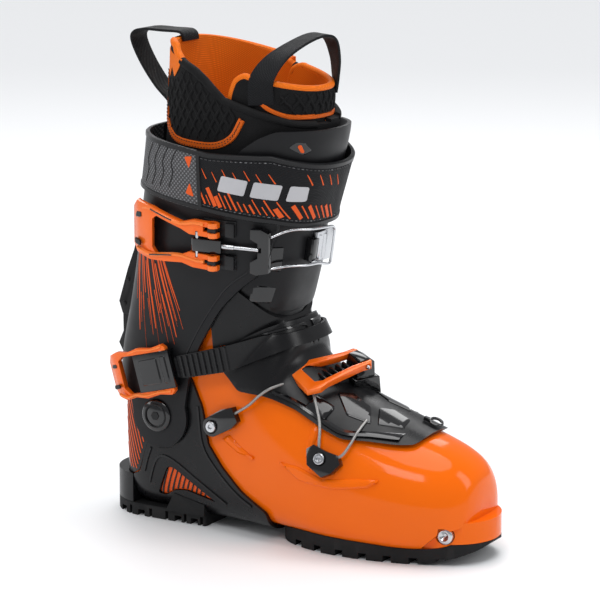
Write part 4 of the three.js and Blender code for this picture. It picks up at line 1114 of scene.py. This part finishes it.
def strap_details():
    loop = np.radians(np.linspace(0, 360, 181))
    front = np.radians(np.linspace(88, 330, 140))
    for name, edge, way in (("low", strap_low, 1), ("high", strap_high, -1)):
        binding = belt("strap_binding_" + name, edge, 1.8 * way, 3.4, loop, STRAP_FACE, 10.0)
        finish_piece(binding, "cuff", SATIN, 0)
        thread = around(lambda x: edge(x) + 4.8 * way, front, 9.45)
        finish_piece(stitches("strap_thread_" + name, thread), "cuff", MESH, 0)
    heights = np.linspace(strap_low(STRAP_SEAM) + 2, strap_high(STRAP_SEAM) - 2, 14)
    seam = [(STRAP_SEAM + 1.6, z, 3.4) for z in heights]
    sewn = strip("strap_seam", [seam], "lateral", STRAP_FACE, 10.1, 0.4)
    finish_piece(sewn, "cuff", SATIN, 0)
    chance = random.Random(12)
    strokes = []
    for k in range(15):
        x = 50 + 3.9 * k
        length = chance.uniform(6, 13)
        foot = strap_low(x) + 6
        width = chance.choice((0.8, 1.0, 1.4, 3.0))
        strokes.append((x - 0.42 * length, foot + length, x, foot, width, width))
    for k in range(7):
        x = 52 + 8 * k
        z = strap_high(x) - 8 - 5 * chance.random()
        strokes.append((x - 3.4, z, x, z - 7, 0.5, 0.9))
    printed = bars("strap_strokes", strokes, "lateral", STRAP_FACE, 9.62, 0.1)
    finish_piece(printed, "cuff", PRINT, 0)
    strokes = []
    for y in range(-28, 10, 6):
        width = chance.choice((0.9, 1.4, 2.6))
        strokes.append((y - 8, 240 - 0.1 * y, y, 230 - 0.1 * y, width, width))
    for y in range(-26, 8, 10):
        strokes.append((y - 6, 262 - 0.1 * y, y, 254 - 0.1 * y, 0.5, 1.0))
    printed = bars("strap_strokes_front", strokes, "front", STRAP_FACE, 9.62, 0.1)
    finish_piece(printed, "cuff", PRINT, 0)
    relief("strap_blocks", [
        [(60, 253), (64, 264), (83, 261), (79, 250)],
        [(83, 249.6), (87, 260.6), (104, 258), (100, 247)],
        [(104, 246.4), (108, 257.4), (116, 255.6), (113, 245)],
    ], "lateral", STRAP_FACE, 9.66, "cuff", PALE, 0.15)


def panel_details():
    for k in range(4):
        curve = [(-8 + 9 * k, 252), (-4 + 9 * k, 262), (-5 + 9 * k, 270), (1 + 9 * k, 281)]
        line_work(f"panel_curve_{k + 1}", [curve], 1.2, "lateral", STRAP_FACE, 9.8,
                  "cuff", SATIN)
    relief("panel_marks", [
        [(34, 275), (41, 276), (38, 267)], [(34, 249), (41, 247), (38, 257)],
    ], "lateral", STRAP_FACE, 9.66, "cuff", PRINT, 0.15)


def ladder():
    """The teeth along the ankle strap."""
    ribs = []
    for x in np.linspace(20, 60, 10):
        low = np.interp(x, (17, 27, 62), (112.2, 113.6, 122)) + 1.2
        high = np.interp(x, (17, 62), (128, 141)) - 1.2
        ribs.append((x + 2.2, low, x - 1.2, high, 2.4, 2.4))
    teeth = bars("ankle_strap_ribs", ribs, "lateral", 9.7, 11.2, 0.7)
    finish_piece(teeth, "foot", SATIN, 0)


# ---- details on the liner ----
def liner_edge(side, offset, xs):
    """The line of the liner's top on one side, from the front to the back."""
    line = sorted(LINER_TOP[side])
    top = np.interp(xs, [p[0] for p in line], [p[1] for p in line])
    plane = 352 - (xs + 10) * 30 / 133
    return spots(side, np.stack([xs, np.minimum(top, plane) - 1.2], 1), offset)


def padded_cord(name, line, radius, corners, finish):
    """A soft round edge of the liner."""
    made = sweep(name, line, radius, corners)
    finish_piece(made, "cuff", finish, 0)


def liner_rims():
    lateral = liner_edge("lateral", LINER_MIDDLE, np.linspace(113, 19, 58))
    padded_cord("liner_rim_lateral", lateral, 3.1, 14, PADDING)
    medial = liner_edge("medial", LINER_MIDDLE, np.linspace(113, 62, 30))
    padded_cord("liner_rim_medial", medial, 3.1, 14, PADDING)
    back = np.vstack([
        liner_edge("lateral", LINER_MIDDLE, np.linspace(22, -4, 14)),
        form_point(23.9, np.radians([3, 0, -3]), LINER_MIDDLE),
        liner_edge("medial", LINER_MIDDLE, np.linspace(-4, 63, 30)),
    ])
    padded_cord("liner_rim_back", back, 2.8, 14, LINING)


def liner_colours():
    """The coloured inside of the liner, and its coloured top behind the ripples."""
    inside = [(-80, 240), (300, 240), (300, 296), (125, 295)]
    inside += [(x, z - 2) for x, z in LINER_TOP["medial"][1:]] + [(-60, 360)]
    lining = layer("liner_lining", (-9.35, -8.85), inside, 9, 24)
    halves = []
    for side, y_range in SIDES.items():
        top = [(x, z - 1) for x, z in LINER_TOP[side]]
        halves.append(prism([(-80, 200), (300, 200)] + top + [(-60, 360)], *y_range))
    finish_piece(keep(lining, join(*halves)), "cuff", LINING, 0)
    edges = {
        "lateral": [(-80, 331), (-4, 331), (0, 333), (4, 326), (8, 334), (12, 327), (17, 333), (21, 340)],
        "medial": [(-80, 331), (-6, 329), (20, 330), (48, 329), (62, 325), (62, 340)],
    }
    for side, edge in edges.items():
        cap = layer("liner_cap_" + side, (-4.7, -3.9), edge + [(-60, 360)], 18, 24, *SIDES[side], 1)
        finish_piece(cap, "cuff", LINING, 0)


def liner_seams():
    u_line = [(-2.4, 330), (-2.2, 312), (3, 294), (14, 284.5), (33, 282), (52, 282.5), (65, 289), (73, 302)]
    line = smooth_line(u_line, 6)
    piping = strip("liner_piping", [[(*p, 5.2) for p in line]], "lateral", -4.8, -3.5, 0.6)
    finish_piece(piping, "cuff", PIPING, 0)
    for name, shift in (("low", -1.3), ("high", 1.3)):
        path = spots("lateral", [(x + shift * 0.5, z + shift) for x, z in line], -3.45)
        thread = stitches("liner_thread_" + name, path, 2.6, 1.5, 0.3)
        finish_piece(thread, "cuff", SATIN, 0)
    side_region = [
        (-2, 326), (-1, 302), (5, 291), (16, 286), (52, 286), (62, 291), (69, 300), (66, 309),
        (42, 324), (33, 330), (22, 334), (14, 326),
    ]
    waves("liner_waves", "lateral", side_region, -4.7)
    tongue_region = [(-34, 308), (-28, 305), (28, 305), (34, 308), (34, 320), (-34, 320)]
    waves("liner_tongue_waves", "front", tongue_region, -9.6)


def waves(name, view, region, offset):
    """Padded ripples that fill a region with a mesh of bulges."""
    pitch, sway, wavelength = 3.75, 1.7, 13
    cords = []
    xs = [p[0] for p in region]
    zs = [p[1] for p in region]
    for k, x in enumerate(np.arange(min(xs), max(xs), pitch)):
        run = []
        for z in np.arange(min(zs), max(zs), 1.2):
            u = x + sway * math.sin(2 * math.pi * z / wavelength + math.pi * (k % 2))
            if is_inside(u, z, region):
                run.append((u, z))
        if len(run) > 4:
            along = [(i + 0.6) / (len(run) + 0.2) for i in range(len(run))]
            radii = [1.5 * math.sin(math.pi * t) ** 0.3 for t in along]
            cords.append(sweep(name, spots(view, run, offset), radii, 8, False, 0.9))
    finish_piece(smooth(merged(name, cords), 60), "cuff", PADDING, 0)


def liner_tongue_details():
    middle = -11.4
    rise = [(59.5, 306), (60.4, 314), (62, 321), (65, 327.6)]
    lateral, medial = (spots(side, rise, middle) for side in SIDES)
    front = around(tongue_top, np.radians(np.linspace(90, 270, 90)), middle)
    trim = smooth_line(np.vstack([lateral, front[front[:, 0] > 69][::2], medial[::-1]]), 3)
    padded_cord("liner_tongue_trim", trim, 2.5, 12, LINING)
    side_line = [(77, 328), (79.5, 321), (86, 311), (97, 305), (106, 303.4), (111, 303)]
    front_line = [(-34, 303.4), (-20, 302.6), (0, 302.4), (20, 302.6), (34, 303.4)]
    for view, line in (("lateral", side_line), ("medial", side_line), ("front", front_line)):
        line_work("liner_tongue_piping_" + view, [line], 3.0, view, -9.6, -8.4,
                  "cuff", PIPING, 0.5)
    inside = [(60, 240), (60.5, 300), (62.5, 321)] + [(x, tongue_top(x) - 1) for x in (68, 200)]
    lining = layer("liner_tongue_lining", (-14.1, -13.4), inside + [(200, 240)], 9, 24)
    finish_piece(lining, "cuff", LINING, 0)


def band(name, path, across, thickness, half_width):
    """A flat band along 3-D points; across is the direction of its width at each point."""
    line = smooth_line(path, 8)
    wide = smooth_line(across, 8)
    way = np.gradient(line, axis=0)
    normal = np.cross(way, wide)
    wide = np.cross(normal, way)
    wide *= half_width / np.linalg.norm(wide, axis=1, keepdims=True)
    normal *= thickness / 2 / np.linalg.norm(normal, axis=1, keepdims=True)
    rows = [line + wide + normal, line - wide + normal, line - wide - normal, line + wide - normal]
    made = mesh_object(name, np.stack(rows, 1).reshape(-1, 3), tube_faces(len(line), 4))
    outwards(made)
    return smooth(made, 40)


def pull_loops():
    rear = [
        (1.8, 348.5), (1.2, 352.4), (-1.4, 354.8), (-6, 355.4), (-16, 355.4), (-31, 355.6),
        (-40.5, 353.4), (-42.5, 347), (-35, 332), (-23, 316), (-11, 304.5), (-9, 298),
    ]
    made = band("pull_loop_rear_webbing", [(x, 0, z) for x, z in rear], [(0, 1, 0) for _ in rear], 1.9, 10)
    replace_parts(finish_piece(made, "cuff", WEBBING, 0.3), "pull_loop_rear")
    front = [
        (-33.3, 312), (-33.5, 318), (-32.5, 330), (-20, 343), (0, 352.5), (18, 357), (29, 353.5),
        (34, 340), (34.5, 326), (34.5, 316),
    ]
    middle_x, middle_y, turn = 95.4, -8.5, 1.218
    path = [(middle_x + u * math.cos(turn), middle_y + u * math.sin(turn), z) for u, z in front]
    twist = np.interp(np.arange(len(front)), (0, 2, 4, 6, 9), (30, 10, -20, -30, -58))
    across = [(math.cos(math.radians(a)), math.sin(math.radians(a)), 0) for a in twist]
    made = band("pull_loop_front_webbing", path, across, 1.9, 9)
    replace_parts(finish_piece(made, "cuff", WEBBING, 0.3), "pull_loop_front")


def form_frame(view, u, v, degrees):
    """Origin and axes on the form: X along a direction in the view, Z outwards."""
    c, s = 3 * math.cos(math.radians(degrees)), 3 * math.sin(math.radians(degrees))
    cross = [(u, v), (u + c, v + s), (u - c, v - s), (u - s, v + c), (u + s, v - c)]
    spot, ahead, behind, left, right = spots(view, cross, 0)
    out = np.cross(ahead - behind, left - right) * (-1 if view == "medial" else 1)
    x = (ahead - behind) / np.linalg.norm(ahead - behind)
    y = np.cross(out, x)
    y /= np.linalg.norm(y)
    return spot, np.stack([x, y, np.cross(x, y)])


def place_in(axes, *local):
    """A point given in a frame of its own: an origin and three axes."""
    return axes[0] + np.array(local) @ axes[1]


def on_form(view, *places):
    """Points on the form, each (u, v, offset) in a view."""
    return [spots(view, [(u, v)], offset)[0] for u, v, offset in places]


def cables():
    rear, front = form_frame("lateral", 46, 79, 31), form_frame("lateral", 140, 69, 0)
    medial = form_frame("medial", 122, 72, 0)
    runs = {
        "cable_rear": [
            place_in(rear, 9, 0, 2.8),
            place_in(rear, 23, 0.4, 3.6),
            *on_form("lateral", (77, 99, 5), (86, 107, 7.2), (95, 113.4, 8)),
            (103, -32, 116),
            (106, -28, 116),
        ],
        "cable_front": [
            place_in(front, -2, 2, 2.8),
            place_in(front, -3, 11, 3.2),
            *on_form("lateral", (133.5, 94, 5.2)),
            (122.6, -34.4, 111.8),
        ],
        "cable_tongue": [
            place_in(front, 6, 1, 2.8),
            place_in(front, 15, 4, 3.2),
            *on_form("lateral", (159, 81, 4.4), (161, 89, 5), (162, 95, 4.4)),
        ],
        "cable_medial": [
            place_in(medial, 0, -4, 2.6),
            place_in(medial, 0, -12, 3.2),
            *on_form("medial", (124, 96, 5.2), (126, 104, 6.2)),
        ],
    }
    for name, points in runs.items():
        made = sweep(name + "_wire", smooth_line(points, 8), 1.05, 12)
        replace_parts(finish_piece(made, "foot", WIRE, 0), name)


# ---- details on the buckles ----
def turned(points, origin, degrees):
    """Points of a buckle's own plan in the side view."""
    c, s = math.cos(math.radians(degrees)), math.sin(math.radians(degrees))
    return [(origin[0] + x * c - y * s, origin[1] + x * s + y * c) for x, y in points]


def lever_ridges(name, body, lines, origin, degrees, width, low, inset):
    """Rounded edges along a lever, drawn in its own plan."""
    ribs = [turned(line, origin, degrees) for line in lines]
    line_work(name, ribs, width, "lateral", low, low + 1.6, body, LEVER, inset)


def lever_marks(name, body, shapes, origin, degrees):
    """Dark plates near a lever's grip, drawn in its own plan."""
    plates = [turned(shape, origin, degrees) for shape in shapes]
    relief(name, plates, "lateral", 14.8, 16.4, body, SATIN, 0.3)


def cuff_lever_details():
    plan = ((54, 215), -4)
    lever_ridges("cuff_lever_ridges", "cuff_lever", [
        [(-64, 15.6), (-50, 17), (-36, 14), (-24, 11.4), (-12, 13.4), (-4, 13.4)],
        [(-64, -14), (-50, -16), (-36, -13.6), (-24, -12), (-12, -13.6), (-4, -13.6)],
    ], *plan, 3.2, 14.6, 0.9)
    lever_marks("cuff_lever_marks", "cuff_lever", [
        [(-67, 8), (-60, 9), (-60, 13), (-66, 12)],
        [(-67, -7), (-60, -8), (-60, -12), (-66, -11)],
    ], *plan)
    inlays = [
        [(-50, 17), (-43, 15.6), (-36, 14), (-30, 12.7)],
        [(-50, -16), (-43, -14.8), (-36, -13.6), (-30, -12.8)],
    ]
    lines = [turned(line, *plan) for line in inlays]
    line_work("cuff_lever_inlays", lines, 1.3, "lateral", 15.8, 16.6,
              "cuff_lever", BLACK, 0.25)


def ankle_buckle_details():
    plan = ((12, 119), 15)
    lever_ridges("ankle_lever_ridges", "ankle_lever", [
        [(-46, 14.5), (-38, 16), (-30, 15.2), (-20, 16.6), (-8, 15.6), (2, 16.4)],
        [(-46, -13), (-38, -16), (-30, -15.2), (-20, -16.6), (-8, -15.6), (2, -16.4)],
    ], *plan, 2.2, 14.7, 0.7)
    lever_marks("ankle_lever_marks", "ankle_lever", [
        [(-50, 6), (-44, 6), (-44, 9), (-50, 9)],
        [(-50, -6), (-44, -6), (-44, -9), (-50, -9)],
    ], *plan)
    plates = [
        [(-21, -9.5), (-4, -9.5), (-4, 9.5), (-21, 9.5)],
        [(-1.5, -10), (3.5, -10), (3.5, 10), (-1.5, 10)],
    ]
    relief("ankle_housing_plate", [turned(plate, *plan) for plate in plates],
           "lateral", 15.0, 16.2, "cuff", BLACK, 0.8)


def forefoot_rack_bars():
    """Teeth on the forefoot rack, in the frame of the forefoot lever's hinge."""
    origin = np.array((136, 7, 128))
    along = np.array((22, 41, 10.5))
    along = along / np.linalg.norm(along)
    up = np.array((0.14, -0.32, 0.94))
    up = up - along * along.dot(up)
    up /= np.linalg.norm(up)
    axes = (origin, np.stack([along, np.cross(up, along), up]))
    foot, crest, half_width = -5.5, -1.2, 6.6
    for k in range(5):
        x = -33 + 5.5 * k
        profile = ((x, foot), (x + 3.4, foot), (x + 2.6, crest), (x + 0.6, crest))
        corners = [place_in(axes, u, y, z) for y in (-half_width, half_width) for u, z in profile]
        made = mesh_object(f"forefoot_rack_bar_{k + 1}", corners, tube_faces(2, 4))
        outwards(made)
        finish_piece(made, "foot", BLACK, 0.5)


for build in (
    lower_shell, heel_cup, heel_frame, window_panels, soles, heel_welt,
    tongue_lower, tongue_gusset, tongue_shin, cuff, cuff_spine, straps, liner,
    shell_details, tongue_details, bellows, cuff_details, pivot_details,
    strap_details, panel_details, ladder,
    liner_rims, liner_colours, liner_seams, liner_tongue_details,
    pull_loops, cables,
    cuff_lever_details, ankle_buckle_details, forefoot_rack_bars,
):
    build()

# ---- CAD nodes that show ----
for finish, names in (
    (LEVER, ("forefoot_lever", "cuff_buckle_lever", "ankle_lever")),
    (BLACK, ("pivot_bushing_lateral", "pivot_bushing_medial", "anchor_rear", "anchor_front",
             "anchor_medial", "forefoot_base", "cuff_barrel", "cuff_yoke", "cuff_rack_block",
             "ankle_housing", "tongue_ring")),
    (SATIN, ("boot_board", "forefoot_rack", "cuff_buckle_base", "walk_bracket", "walk_lever",
             "lock_bar")),
    (STEEL, ("heel_insert", "toe_socket_lateral", "toe_socket_medial", "anchor_screw_rear",
             "anchor_screw_front", "forefoot_pin", "cuff_lever_pin_upper", "cuff_lever_pin_lower",
             "cuff_barrel_pin", "cuff_rod", "cuff_rack", "ankle_pin", "ankle_strap_rivet",
             "heel_catch")),
):
    for name in names:
        dress(name, finish)
dress("cuff_bail", STEEL, round_wire=True)


# ---- camera, light and floor ----
def aim(thing, target):
    """Turns a camera or a lamp towards a place."""
    thing.rotation_mode = "QUATERNION"
    thing.rotation_quaternion = (Vector(target) - thing.location).to_track_quat("-Z", "Y")


def camera():
    """Looks at the toe and the lateral side, a little from above."""
    data = bpy.data.cameras.new("camera")
    data.lens = 159.9
    data.sensor_width = 36
    made = bpy.data.objects.new("camera", data)
    bpy.context.scene.collection.objects.link(made)
    target = Vector((0.092, 0, 0.168))
    turn, rise = math.radians(30), math.radians(12)
    back = Vector((math.sin(turn) * math.cos(rise), -math.cos(turn) * math.cos(rise), math.sin(rise)))
    distance = 1.9
    made.location = target + distance * back
    aim(made, target)
    bpy.context.scene.camera = made


def area_light(name, place, target, size, power):
    data = bpy.data.lights.new(name, "AREA")
    data.shape = "RECTANGLE"
    data.size, data.size_y = size
    data.energy = power
    made = bpy.data.objects.new(name, data)
    bpy.context.scene.collection.objects.link(made)
    made.location = place
    aim(made, target)


def studio():
    target = (0.09, 0, 0.15)
    for name, place, size, power in (
        ("key", (0.5, -1.5, 1.9), (1.0, 0.6), 13),
        ("left", (-1.5, -1.1, 0.9), (0.5, 1.2), 6),
        ("right", (1.7, 0.5, 1.1), (0.5, 1.2), 8),
        ("back", (-0.7, 1.5, 1.4), (1.4, 0.6), 9),
    ):
        area_light(name, place, target, size, power)
    sky = bpy.data.lights.new("overhead", "SUN")
    sky.energy = 1.9
    sky.angle = math.radians(50)
    overhead = bpy.data.objects.new("overhead", sky)
    bpy.context.scene.collection.objects.link(overhead)
    overhead.location = (0.1, 0.25, 3)
    aim(overhead, target)
    world = bpy.data.worlds.new("world")
    world.use_nodes = True
    glow = {"Color": (0.96, 0.97, 1, 1), "Strength": 0.4}
    feed(world.node_tree, world.node_tree.nodes["Background"], glow)
    bpy.context.scene.world = world
    bpy.context.scene.view_settings.view_transform = "Standard"
    corners = [(x * FLOOR, y * FLOOR, -0.2) for x, y in ((-1, -1), (1, -1), (1, 1), (-1, 1))]
    ground = mesh_object("floor", corners, [(0, 1, 2, 3)])
    paper = bpy.data.materials.new("paper")
    paper.use_nodes = True
    matt = {"Base Color": (0.86, 0.87, 0.88, 1), "Roughness": 0.6}
    feed(paper.node_tree, paper.node_tree.nodes["Principled BSDF"], matt)
    ground.data.materials.append(paper)


camera()
studio()
